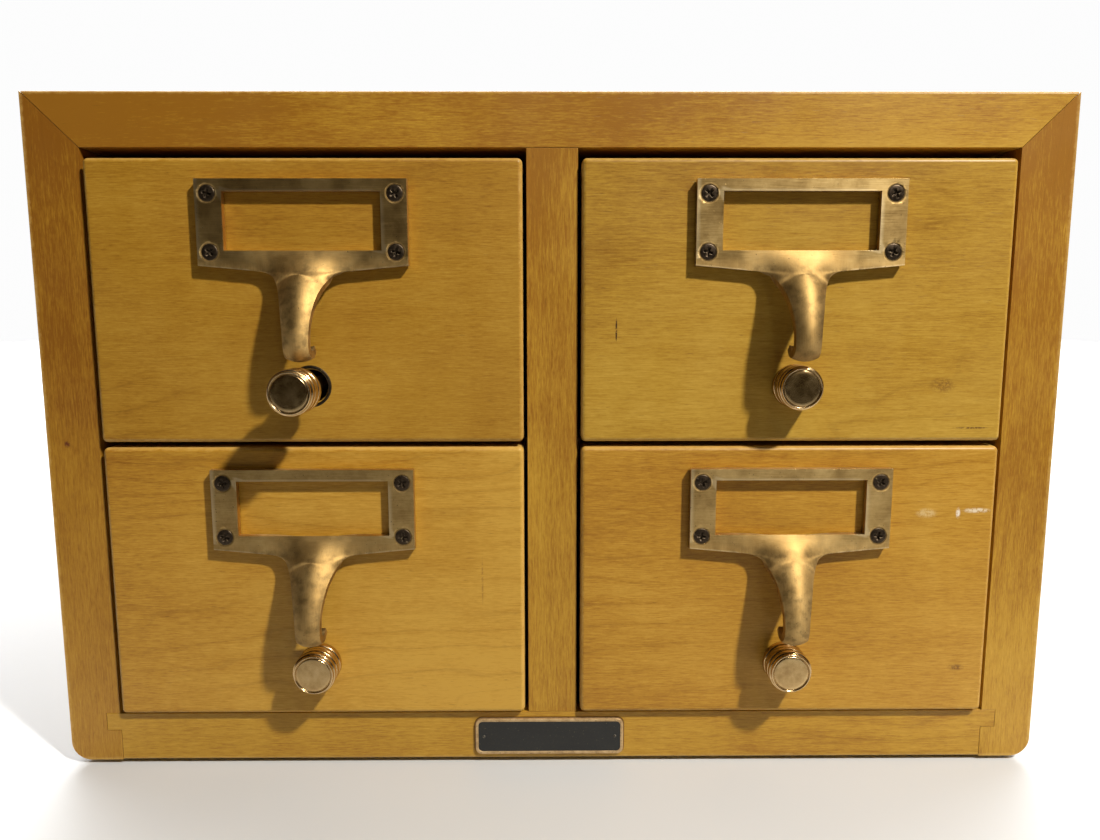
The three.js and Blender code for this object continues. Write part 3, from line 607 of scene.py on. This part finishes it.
def cad_copy(node):
    """The CAD node's solid as a clean bmesh: shared vertices, and one face for each flat side."""
    bm = bmesh.new()
    bm.from_mesh(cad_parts[node].data)
    bmesh.ops.remove_doubles(bm, verts=bm.verts, dist=0.004 * MM)
    bmesh.ops.dissolve_limit(bm, angle_limit=math.radians(1), verts=bm.verts, edges=bm.edges)
    return bm


CASE_BOX = (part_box("left_side_panel")[0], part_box("top_panel")[1])


def on_case_corner(edge):
    """Whether an edge lies along one of the case's own outside edges."""
    low, high = CASE_BOX
    point = (edge.verts[0].co + edge.verts[1].co) / 2
    sides = sum(min(abs(point[i] - low[i]), abs(point[i] - high[i])) < 0.01 * MM for i in range(3))
    return sides >= 2


def case_board(node, look, slot="case_maple"):
    """A board of the case: its outside edges well eased, its joint edges barely."""
    bm = cad_copy(node)
    weights = bm.edges.layers.float.new("bevel_weight_edge")
    for edge in bm.edges:
        if len(edge.link_faces) == 2 and edge.calc_face_angle(0) > SHARP_ANGLE:
            edge[weights] = 1.0 if on_case_corner(edge) else JOINT_EDGE / CASE_EDGE
    piece = show(f"{node}_board", finished(node, bm), look, "case", slot, node)
    soften(piece, CASE_EDGE, weighted=True)


def tray_board(node, look, body, slot="tray_wood", edge=TRAY_EDGE):
    """A board of a tray, all its edges eased alike."""
    piece = show(f"{node}_board", finished(node, cad_copy(node)), look, body, slot, node)
    soften(piece, edge, 2)


def build_case():
    """The case's boards, each with its own stretch of grain."""
    outside = tuple(corner / MM for corner in CASE_BOX)
    low, high = outside
    red_dot = ((low.x + 7.5, low.y - 0.55, 127), (1.5, 3, 1.7), (0.1, 0.018, 0.01), 0.9)
    # Painted light and shade: the sides and the divider are painted darker towards the top, and the top
    # board darker along its top and lighter to the right
    painted_shade_upward = (UP, 60, high.z, -0.5)
    top = ((ACROSS, low.x + 0.5, 120, 0.4), (UP, high.z - 55, high.z, -0.62))
    case_board("top_panel", wood("top_maple", "X", 11, HONEY, painted_light_ramps=top, edges=outside))
    left = wood("left_maple", "Z", 12, AMBER, painted_light_ramps=(painted_shade_upward,), edges=outside, marks=(red_dot,))
    case_board("left_side_panel", left)
    case_board("right_side_panel", wood("right_maple", "Z", 13, HONEY, painted_light_ramps=(painted_shade_upward,), edges=outside))
    plate = tuple(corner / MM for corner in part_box("name_plate"))
    case_board("bottom_panel", wood("bottom_maple", "X", 14, HONEY, edges=outside, darkened_area=plate))
    case_board("center_divider", wood("divider_maple", "Z", 15, HONEY, painted_light_ramps=(painted_shade_upward,)))
    case_board("shelf", wood("shelf_maple", "X", 16, PALE, gloss=0.2), slot="tray_wood")
    case_board("back_panel", wood("back_ply", "Z", 17, PLY, gloss=0.1, figure=1.4), slot="back_ply")


FRONT_TONES = {"upper_left": OLIVE, "upper_right": TAN, "lower_left": WARM, "lower_right": WARM}
# Painted light: how much lighter each front is painted towards its right side
FRONT_PAINTED_LIGHT = {"upper_left": 0.16, "upper_right": 0.16, "lower_left": 0.55, "lower_right": 0.16}
MARK_DEPTH = 3
STAIN = (0.16, 0.062, 0.01)

# Marks on the fronts: (right of the middle, over the lower edge, half width, half height, colour,
# strength), in millimetres
FRONT_MARKS = {
    "upper_right": (
        (-66, 41.6, 0.45, 5.2, (0.05, 0.018, 0.006), 1.6),
        (55.8, 21, 6, 3.6, STAIN, 0.62),
        (67.8, 5, 9, 0.5, (0.1, 0.04, 0.01), 0.9),
    ),
    "lower_left": ((62.8, 53.3, 0.5, 12, (0.22, 0.09, 0.02), 0.5),),
    "lower_right": (
        (64.8, 79.65, 1.1, 2.6, (0.8, 0.72, 0.6), 0.9),
        (71.8, 80.65, 6.5, 1.3, (0.78, 0.68, 0.5), 0.8),
        (52.8, 79.65, 5, 2.4, (0.66, 0.5, 0.24), 0.6),
        (67.8, 18, 4, 1.6, STAIN, 0.8),
    ),
}


def front_look(drawer, seed):
    """The maple of one drawer front, with painted light making it lighter to the right and painted shade
    darker towards its top, and its own marks.
    """
    low, high = (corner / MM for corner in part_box(f"{drawer}_drawer_front"))
    middle_x = (low.x + high.x) / 2
    marks = [
        ((middle_x + right, low.y, low.z + up), (wide, MARK_DEPTH, tall), stain, strength)
        for right, up, wide, tall, stain, strength in FRONT_MARKS.get(drawer, ())
    ]
    painted_light_sideways = (ACROSS, middle_x - 90, middle_x + 90, FRONT_PAINTED_LIGHT[drawer])
    # Painted shade: each front is painted darker towards its top
    painted_light_ramps = (painted_light_sideways, (UP, low.z, high.z, -0.12))
    tones = FRONT_TONES[drawer]
    return wood(f"{drawer}_front_maple", "X", seed, tones, painted_light_ramps=painted_light_ramps, edges=(low, high), marks=marks)


def build_trays():
    """The trays and their follower blocks, with the grain along the tray or across it."""
    along = wood("tray_maple_along", "Y", 31, PALE, gloss=0.25)
    across = wood("tray_maple_across", "X", 32, PALE, gloss=0.25)
    for seed, drawer in enumerate(DRAWERS, 41):
        body = f"{drawer}_drawer"
        tray_board(f"{drawer}_drawer_front", front_look(drawer, seed), body, "front_maple", FRONT_EDGE)
        for side in ("left", "right"):
            tray_board(f"{drawer}_tray_{side}_side", along, body)
        tray_board(f"{drawer}_tray_bottom", along, body)
        tray_board(f"{drawer}_tray_back", across, body)
        tray_board(f"{drawer}_follower_block", across, f"{drawer}_follower", edge=FOLLOWER_EDGE)


# ---------------------------------------------------------------------------------------------
# Pulls
# ---------------------------------------------------------------------------------------------

# The pull's outer surface, in millimetres from the middle of the frame's top edge: (out from the
# drawer's face, up). The middle of the tongue, and its side edge with the half width.
TONGUE_MIDDLE = [
    (9.2, -32.8), (10.5, -34.4), (12.0, -36.6), (13.7, -39.4), (15.6, -43.2), (17.4, -48.0),
    (18.6, -53.8), (18.2, -60.2), (14.5, -64.3), (9.7, -64.2), (6.4, -61.5),
]
TONGUE_EDGE = [
    (3.4, -32.4, 17.5), (3.7, -33.0, 13.8), (4.9, -34.4, 10.9), (7.9, -37.0, 8.7), (11.6, -41.0, 6.9),
    (14.9, -46.6, 5.6), (16.7, -53.0, 4.75), (16.7, -59.8, 4.5), (13.9, -63.1, 4.65),
    (9.7, -63.1, 4.65), (7.1, -61.0, 4.6),
]
BAR_MIDDLE = [(3.4, -25.2), (4.0, -26.5), (5.05, -28.0), (6.4, -29.6), (7.8, -31.2), (9.2, -32.8)]
HALF_FRAME = 37.8
HALF_WINDOW = 28.25
WINDOW_TOP = -4.3
WINDOW_LOW = -25.2
FRAME_LOW = -30.5
FRAME_FACE = 3.4
PULL_THICKNESS = 2.8
PULL_EDGE = 0.4
RIM_ANGLE = math.radians(50)

# The root is where the tongue grows out of the frame's lower bar
ROOT = 17.5
ROOT_LOW = -32.4
ROOT_END = -46
ROOT_PINCH = 0.25
ROOT_SMOOTHING = 14

SCREW_PLACES = [(x, z) for x in (-33.4, 33.4) for z in (-5.1, -25.7)]
SCREW_HEAD = 3.0
SCREW_SINK = 0.05
SCREW_SEGMENTS = 64
COUNTERSINK_SEGMENTS = 40
SHUFFLE = random.Random(20)


def curve_point(points, t):
    """A Catmull-Rom curve through the points, at t from 0 to 1."""
    spans = len(points) - 1
    at = min(t * spans, spans - 1e-9)
    i = int(at)
    f = at - i
    p = [points[min(max(k, 0), spans)] for k in range(i - 1, i + 3)]
    return [
        0.5 * (2 * b + (c - a) * f + (2 * a - 5 * b + 4 * c - d) * f * f + (3 * b - a - 3 * c + d) * f**3)
        for a, b, c, d in zip(*p)
    ]


def ease(value):
    """From 0 to 1 with a soft start and end, flat past them."""
    value = min(max(value, 0.0), 1.0)
    return value * value * (3 - 2 * value)


def spread(a, b, count):
    """count equal steps from a to b, without the first point."""
    return [a + (b - a) * (i + 1) / count for i in range(count)]


def pull_columns():
    """Where the sheet's columns cross the frame, from left to right."""
    right = spread(0, ROOT, 11) + spread(ROOT, HALF_WINDOW, 4) + spread(HALF_WINDOW, HALF_FRAME, 5)
    return [-x for x in reversed(right)] + [0.0] + right


def pull_rows():
    """(kind, place) of the sheet's rows from the top: bars by height, the tongue by its length."""
    rows = [("top", z) for z in [0.0] + spread(0, WINDOW_TOP, 4)]
    rows += [("window", z) for z in spread(WINDOW_TOP, WINDOW_LOW, 9)]
    rows += [("bar", t) for t in spread(0, 1, 8)]
    return rows + [("tongue", t) for t in spread(0, 1, 54)]


def pull_point(x, kind, place):
    """The sheet's point (x, out, up) for a column and a row, or None past the sheet's edge."""
    u = abs(x) / ROOT
    pinch = 1 + ROOT_PINCH * (place if kind == "bar" else 1 - ease(place / 0.12))
    if kind in ("top", "window"):
        return x, FRAME_FACE, place
    if kind == "bar":
        if u >= 1:
            reach = (HALF_FRAME - abs(x)) / (HALF_FRAME - ROOT)
            low = FRAME_LOW + (ROOT_LOW - FRAME_LOW) * reach
            return x, FRAME_FACE, WINDOW_LOW + (low - WINDOW_LOW) * place
        out, up = curve_point(BAR_MIDDLE, place)
        flat = WINDOW_LOW + (ROOT_LOW - WINDOW_LOW) * place
        side = ease(u * pinch)
        return x, out + (FRAME_FACE - out) * side, up + (flat - up) * side
    if u > 1:
        return None
    out, up = curve_point(TONGUE_MIDDLE, place)
    edge_out, edge_up, half = curve_point(TONGUE_EDGE, place)
    settle = ease(place / 0.3)
    side = ease(u * pinch) * (1 - settle) + u**2 * settle
    return math.copysign(u, x) * half, out + (edge_out - out) * side, up + (edge_up - up) * side


def smooth_root(bm):
    """Relaxes the sheet where the tongue grows out of the bar; the outline stays."""
    free = [
        vertex
        for vertex in bm.verts
        if abs(vertex.co.x) < ROOT + 1
        and ROOT_END < vertex.co.z < WINDOW_LOW
        and all(len(edge.link_faces) == 2 for edge in vertex.link_edges)
    ]
    for _ in range(ROOT_SMOOTHING):
        bmesh.ops.smooth_vert(bm, verts=free, factor=0.5, use_axis_x=True, use_axis_y=True, use_axis_z=True)


def pull_sheet():
    """The pull as a sheet of quads with its window left open, and a back PULL_THICKNESS behind it."""
    bm = bmesh.new()
    columns = pull_columns()
    rows = pull_rows()
    grid = []
    for kind, place in rows:
        line = []
        for x in columns:
            point = pull_point(x, kind, place)
            line.append(None if point is None else bm.verts.new((point[0], -point[1], point[2])))
        grid.append(line)
    for r, (upper, lower) in enumerate(zip(grid, grid[1:])):
        for c in range(len(columns) - 1):
            corners = (upper[c], lower[c], lower[c + 1], upper[c + 1])
            middle = (columns[c] + columns[c + 1]) / 2
            in_window = rows[r + 1][0] == "window" and abs(middle) < HALF_WINDOW
            if None not in corners and not in_window:
                bm.faces.new(corners)
    bmesh.ops.delete(bm, geom=[v for v in bm.verts if not v.link_faces], context="VERTS")
    smooth_root(bm)
    bm.normal_update()
    behind = {}
    for vertex in list(bm.verts):
        inward = Vector((0, vertex.normal.y, vertex.normal.z)).normalized()
        behind[vertex] = bm.verts.new(vertex.co - inward * PULL_THICKNESS)
    rim = [edge for edge in bm.edges if len(edge.link_faces) == 1]
    for face in list(bm.faces):
        bm.faces.new([behind[v] for v in reversed(face.verts)])
    for edge in rim:
        a, b = edge.verts
        bm.faces.new((a, b, behind[b], behind[a]))
    return finished("pull_sheet", bm)


def screw_cutters():
    """Four countersinks, as one mesh."""
    bm = bmesh.new()
    wide, narrow = SCREW_HEAD + 0.1, 1.7
    face = -FRAME_FACE
    sections = [(wide, face - 2), (wide, face), (narrow, face + 1.75), (narrow, 2.0)]
    for middle_x, middle_z in SCREW_PLACES:
        rings = []
        for radius, y in sections:
            points = circle_points(radius, COUNTERSINK_SEGMENTS)
            rings.append([bm.verts.new((middle_x + x, y, middle_z + z)) for x, z in points])
        loft(bm, rings)
    return finished("countersinks", bm)


def pull_mesh():
    """The whole casting: the sheet with its rims rounded and its screw holes cut."""
    piece = scratch(pull_sheet())
    bevel = piece.modifiers.new("rims", "BEVEL")
    bevel.width = PULL_EDGE
    bevel.segments = 3
    bevel.angle_limit = RIM_ANGLE
    cutter = scratch(screw_cutters())
    holes = piece.modifiers.new("holes", "BOOLEAN")
    holes.operation = "DIFFERENCE"
    holes.object = cutter
    holes.solver = "EXACT"
    mesh = applied(piece)
    bpy.data.objects.remove(cutter)
    return mesh


def screw_height(x, z):
    """How far the head stands out at a point: a low dome with a tapered cross let into it."""
    radius = math.hypot(x, z)
    dome = 0.32 * (1 - (radius / SCREW_HEAD) ** 2) - 0.14 * ease((radius - 2.7) / 0.3)
    long, thin = max(abs(x), abs(z)), min(abs(x), abs(z))
    arm = 1 - ease((thin - 0.32) / 0.2)
    reach = 1 - ease((long - 1.45) / 0.3)
    return dome - arm * reach * (1 - 0.3 * ease(long / 1.7))


def screw_mesh():
    """A countersunk head with a cross recess, on a plain pointed shank."""
    bm = bmesh.new()
    centre = bm.verts.new((0, -screw_height(0, 0), 0))
    rings = []
    for radius in spread(0, SCREW_HEAD, 16):
        points = circle_points(radius, SCREW_SEGMENTS)
        rings.append([bm.verts.new((x, -screw_height(x, z), z)) for x, z in points])
    for radius, back in ((2.9, 0.2), (1.5, 1.75), (1.5, 11), (0.3, 13.2)):
        rings.append([bm.verts.new((x, back, z)) for x, z in circle_points(radius, SCREW_SEGMENTS)])
    for i in range(SCREW_SEGMENTS):
        bm.faces.new((centre, rings[0][i], rings[0][(i + 1) % SCREW_SEGMENTS]))
    loft(bm, rings, cap_first=False)
    return finished("screw", bm)


def spun(mesh, angle):
    """A copy of a mesh turned about Y."""
    copy = mesh.copy()
    for vertex in copy.vertices:
        x, z = vertex.co.x, vertex.co.z
        vertex.co.x = x * math.cos(angle) - z * math.sin(angle)
        vertex.co.z = x * math.sin(angle) + z * math.cos(angle)
    return copy


def build_pulls():
    """The four castings, each held by four screws whose crosses stand as they happen to."""
    casting = pull_mesh()
    screw = screw_mesh()
    screw_look = blackened("screw_black", (0.042, 0.029, 0.018), (0.5, 0.37, 0.2), 0.34)
    for drawer in DRAWERS:
        body = f"{drawer}_drawer"
        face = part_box(f"{drawer}_drawer_front")[0].y
        low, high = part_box(f"{drawer}_pull")
        origin = Vector(((low.x + high.x) / 2, face, high.z))
        screws = [origin / MM + Vector((x, -FRAME_FACE, z)) for x, z in SCREW_PLACES]
        look = pull_brass(f"{drawer}_pull_brass", high.z / MM, screws, PULL_PAINTED_BRIGHTNESS[drawer])
        mesh = moved(casting, f"{drawer}_casting", origin)
        piece = show(f"{drawer}_label_pull", mesh, look, body, "pull_brass", f"{drawer}_pull")
        piece.modifiers.new("flat_faces", "WEIGHTED_NORMAL").keep_sharp = True
        for number in (1, 2, 3, 4):
            node = f"{drawer}_pull_screw_{number}"
            low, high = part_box(node)
            centre = (low + high) / 2
            centre.y = face - (FRAME_FACE - SCREW_SINK) * MM
            head = moved(spun(screw, SHUFFLE.uniform(0, math.pi)), node, centre)
            show(f"{node}_head", head, screw_look, body, "screw_black", node)


# ---------------------------------------------------------------------------------------------
# Rods, knobs and rings
# ---------------------------------------------------------------------------------------------

# The knob's turned profile, in millimetres: (radius, out from its foot)
BOSS = [(0, -6), (3.4, -6), (5.6, -6), (5.8, -5.8), (5.8, 0)]
LOW_BAND = [(7.5, 0), (7.85, 0.08), (8.05, 0.3), (8.12, 0.6), (8.12, 2.2), (8.06, 2.5), (7.8, 2.72)]
LOW_GROOVE = [(7.45, 2.85), (7.3, 3.05), (7.32, 3.3), (7.6, 3.5)]
MIDDLE_BAND = [
    (7.9, 3.6), (8.06, 3.85), (8.1, 4.2), (8.1, 5.35), (8.04, 5.45), (7.9, 5.55), (8.04, 5.65),
    (8.1, 5.75), (8.1, 6.9), (8.06, 7.2), (7.9, 7.42),
]
HIGH_GROOVE = [(7.55, 7.55), (7.25, 7.75), (7.22, 8.0), (7.4, 8.2)]
HIGH_BAND = [(7.8, 8.32), (8.05, 8.55), (8.12, 8.9), (8.1, 9.9), (8.0, 10.2), (7.8, 10.38), (7.55, 10.44)]
HEAD = [(7.46, 10.55), (7.46, 11.1), (7.4, 11.38), (7.25, 11.54), (7.05, 11.58)]
FACE_GROOVE = [(6.9, 11.5), (6.82, 11.3), (6.72, 11.12), (6.58, 11.08), (6.46, 11.18), (6.36, 11.36)]
FACE = [(6.2, 11.42), (5.2, 11.44), (3.6, 11.46), (1.8, 11.47), (0, 11.48)]
KNOB = BOSS + LOW_BAND + LOW_GROOVE + MIDDLE_BAND + HIGH_GROOVE + HIGH_BAND + HEAD + FACE_GROOVE + FACE
KNOB_LENGTH = max(out for _, out in KNOB)
KNOB_INSET = 0.1
KNOB_SEGMENTS = 72
ROD_SEGMENTS = 36

# The ring round the rod's hole: (radius, out from the drawer's face), closed on itself
RING = [
    (6.65, -9), (6.65, 0.04), (6.75, 0.18), (6.95, 0.25), (7.3, 0.26), (7.62, 0.2), (7.78, 0.06),
    (7.8, -0.2), (6.95, -1.2), (6.95, -9), (6.65, -9),
]


def rod_profile(front, back, radius):
    """A plain rod with rounded ends, from back to front, by distance out."""
    edge, third = 0.9, 0.3
    return [
        (0, back), (radius - edge, back), (radius - third, back + third), (radius, back + edge),
        (radius, front - edge), (radius - third, front - third), (radius - edge, front), (0, front),
    ]


def build_rods():
    """Each drawer's rod with its knob, and the ring round the hole they go through."""
    knob = turned_mesh("knob", KNOB, KNOB_SEGMENTS)
    ring = turned_mesh("ring", RING, KNOB_SEGMENTS)
    ring_look = blackened("ring_bronze", (0.03, 0.022, 0.013), (0.2, 0.13, 0.06), 0.36)
    rod_look = steel()
    for drawer in DRAWERS:
        low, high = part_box(f"{drawer}_guide_rod")
        axis = (low + high) / 2
        radius = (high.x - low.x) / 2 / MM
        length = (high.y - low.y) / MM
        rod = turned_mesh("rod", rod_profile(0, -length, radius), ROD_SEGMENTS)
        rod = moved(rod, f"{drawer}_rod", (axis.x, low.y, axis.z))
        show(f"{drawer}_bright_rod", rod, rod_look, f"{drawer}_rod", "rod_steel", f"{drawer}_guide_rod")
        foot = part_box(f"{drawer}_rod_knob")[0].y + (KNOB_LENGTH + KNOB_INSET) * MM
        look = knob_brass(f"{drawer}_knob_brass")
        mesh = moved(knob, f"{drawer}_knob", (axis.x, foot, axis.z))
        show(f"{drawer}_turned_knob", mesh, look, f"{drawer}_knob", "knob_brass", f"{drawer}_rod_knob")
        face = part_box(f"{drawer}_drawer_front")[0].y
        mesh = moved(ring, f"{drawer}_ring", (axis.x, face, axis.z))
        show(f"{drawer}_rod_ring", mesh, ring_look, f"{drawer}_drawer", "screw_black")


# ---------------------------------------------------------------------------------------------
# Name plate
# ---------------------------------------------------------------------------------------------

# Rounds of the plate's rim and dark field, in millimetres: (in from the outline, below the plate's
# front, corner radius)
RIM = [
    (0, 0.35, PLATE_RADIUS), (0.12, 0.1, 2.5), (0.3, 0, 2.3), (1.1, 0, 1.8), (1.2, 0.08, 1.7),
    (1.26, 0.3, 1.65),
]
FIELD = [(1.16, 0.5, 1.7), (1.22, 0.22, 1.7), (1.36, 0.18, 1.6)]
RIM_EDGE = 0.05
FIELD_EDGE = 0.03
PIN = [(0, -0.4), (0.6, -0.4), (0.6, 0.05), (0.5, 0.18), (0.28, 0.27), (0, 0.3)]
PIN_INSET = 3.4
PIN_SUNK = 0.2
PIN_SEGMENTS = 28
CORNER_STEPS = 7


def rounded_loop(bm, half_width, half_height, radius, y):
    """A ring of vertices round a rounded rectangle, in millimetres."""
    ring = []
    corners = ((1, 1, 0), (-1, 1, 90), (-1, -1, 180), (1, -1, 270))
    for sx, sz, start in corners:
        for i in range(CORNER_STEPS + 1):
            angle = math.radians(start + 90 * i / CORNER_STEPS)
            x = sx * (half_width - radius) + radius * math.cos(angle)
            z = sz * (half_height - radius) + radius * math.sin(angle)
            ring.append(bm.verts.new((x, y, z)))
    return ring


def build_plate():
    """A blank enamelled plate: a brass rim, a dark field a little below it, and two pins."""
    low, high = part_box("name_plate")
    size = (high - low) / MM
    centre = (low + high) / 2
    centre.y = high.y

    def plate_part(name, rounds):
        bm = bmesh.new()
        loops = []
        for inset, below, radius in rounds:
            halves = size.x / 2 - inset, size.z / 2 - inset
            loops.append(rounded_loop(bm, *halves, radius, below - size.y))
        loft(bm, loops)
        return moved(finished(name, bm), f"plate_{name}", centre)

    rim = plate_part("rim", [(0, size.y, PLATE_RADIUS)] + RIM)
    brass = dull_brass("plate_rim_brass")
    soften(show("name_plate_rim", rim, brass, "case", "plate_black", "name_plate"), RIM_EDGE, 1)
    field = plate_part("field", FIELD)
    soften(show("name_plate_field", field, enamel(), "case", "plate_black"), FIELD_EDGE, 1)
    pin = turned_mesh("pin", PIN, PIN_SEGMENTS)
    pin_look = blackened("pin_black", (0.05, 0.045, 0.038), (0.4, 0.36, 0.28), 0.3)
    for name, side in (("left", -1), ("right", 1)):
        spot = centre + Vector((side * (size.x / 2 - PIN_INSET), PIN_SUNK - size.y, 0)) * MM
        show(f"name_plate_pin_{name}", moved(pin, f"pin_{name}", spot), pin_look, "case", "plate_black")


# ---------------------------------------------------------------------------------------------
# Floor, lights and camera
# ---------------------------------------------------------------------------------------------

# The floor's half width, its reach in front of the case and how far it lies below, in metres
FLOOR_HALF = 3
FLOOR_AHEAD = 0.6
FLOOR_DROP = 0.0018


def build_floor():
    """A pale floor that reaches far behind the case and is darker in front of it."""
    bm = bmesh.new()
    bmesh.ops.create_grid(bm, x_segments=12, y_segments=12, size=FLOOR_HALF)
    for vertex in bm.verts:
        vertex.co += Vector((0, FLOOR_HALF + CASE_BOX[0].y - FLOOR_AHEAD, -FLOOR_DROP))
    floor = bpy.data.objects.new("floor", finished("floor", bm))
    made, g, shader = material("pale_floor")
    tone = g.noise(g.position(), 0.004, detail=3)
    pale = g.ramp(tone, (0.3, (0.6, 0.61, 0.62)), (0.7, (0.64, 0.65, 0.66)))
    face = CASE_BOX[0].y / MM
    near = g.remap(g.split(g.position())[DEEP], face - 50, face - 150, 0, 0.7, smooth=True)
    g.put(shader.inputs["Base Color"], g.mix(near, pale, (0.16, 0.15, 0.14, 1)))
    floor.data.materials.append(made)
    bpy.context.scene.collection.objects.link(floor)


# The direction of the window's glow
WINDOW = (0.34, -0.91, 0.24)


def build_world():
    """Pale to look at; its light comes from behind, and from a window's glow in front on the right."""
    world = bpy.data.worlds.new("studio")
    world.use_nodes = True
    bpy.context.scene.world = world
    g = Nodes(world.node_tree)
    sky = g.add("ShaderNodeTexCoord").outputs["Generated"]
    behind = g.remap(g.split(sky)[DEEP], 0.0, 0.4, smooth=True)
    off_window = g.length(g.shift(sky, tuple(-part for part in WINDOW)))
    window = g.remap(off_window, 0.3, 0.12, smooth=True)
    room = g.mix(behind, (0.022, 0.017, 0.01, 1), (0.7, 0.7, 0.7, 1))
    light = g.mix(window, room, (0.3, 0.27, 0.22, 1))
    seen = g.add("ShaderNodeLightPath").outputs["Is Camera Ray"]
    colour = g.mix(seen, light, (0.98, 0.98, 0.98, 1))
    g.put(world.node_tree.nodes["Background"].inputs["Color"], colour)


# The key light's place and aim, in metres from the middle of the case's front at the floor
KEY_WATTS = 88
KEY_RADIUS = 0.038
KEY_CONE = math.radians(38)
KEY_RIGHT, KEY_AHEAD, KEY_UP = 0.6, 0.64, 1.03
KEY_AIM_X, KEY_AIM_Z = 0.015, 0.105


def lamp(name, target, direction, distance, size, watts, tint):
    """A square area light that looks at the target from a direction."""
    data = bpy.data.lights.new(name, "AREA")
    data.size = size
    data.energy = watts
    data.color = tint
    light = bpy.data.objects.new(name, data)
    towards = Vector(direction).normalized()
    light.location = Vector(target) + towards * distance
    light.rotation_euler = towards.to_track_quat("Z", "Y").to_euler()
    bpy.context.scene.collection.objects.link(light)


def build_lights():
    """A shaded lamp high on the right, a weak second one nearer the middle, and a light on the floor."""
    data = bpy.data.lights.new("key", "SPOT")
    data.energy = KEY_WATTS
    data.color = (1, 0.965, 0.9)
    data.shadow_soft_size = KEY_RADIUS
    data.spot_size = KEY_CONE
    data.spot_blend = 0.5
    key = bpy.data.objects.new("key", data)
    face = CASE_BOX[0].y
    key.location = (KEY_RIGHT, face - KEY_AHEAD, KEY_UP)
    aim = Vector((KEY_AIM_X, face, KEY_AIM_Z)) - key.location
    key.rotation_euler = aim.to_track_quat("-Z", "Y").to_euler()
    bpy.context.scene.collection.objects.link(key)
    lamp("second", (0, face, 0.12), (0.15, -0.65, 0.75), 1.3, 0.12, 0.95, (1, 0.97, 0.93))
    lamp("floor_light", (0, 3.4, 0), (0, 0, 1), 2.2, 5.4, 520, (1, 1, 1))


# The camera's place, in metres from the same point, and its turns
CAMERA_RIGHT, CAMERA_AHEAD, CAMERA_UP = -0.0029, 0.3089, 0.1773
CAMERA_DOWN, CAMERA_ROLL, CAMERA_YAW = 0.1331, 0.0009, -0.0068
CAMERA_LENS = 27.03


def build_camera():
    """Close in front, a little above the middle, looking slightly down."""
    data = bpy.data.cameras.new("camera")
    data.sensor_width = 36
    data.lens = CAMERA_LENS
    data.clip_start = 0.01
    camera = bpy.data.objects.new("camera", data)
    camera.location = (CAMERA_RIGHT, CASE_BOX[0].y - CAMERA_AHEAD, CAMERA_UP)
    camera.rotation_euler = (math.pi / 2 - CAMERA_DOWN, CAMERA_ROLL, CAMERA_YAW)
    bpy.context.scene.collection.objects.link(camera)
    bpy.context.scene.camera = camera


build_camera()
build_case()
build_trays()
build_pulls()
build_rods()
build_plate()
build_floor()
build_world()
build_lights()
bpy.context.scene.view_settings.view_transform = "Standard"
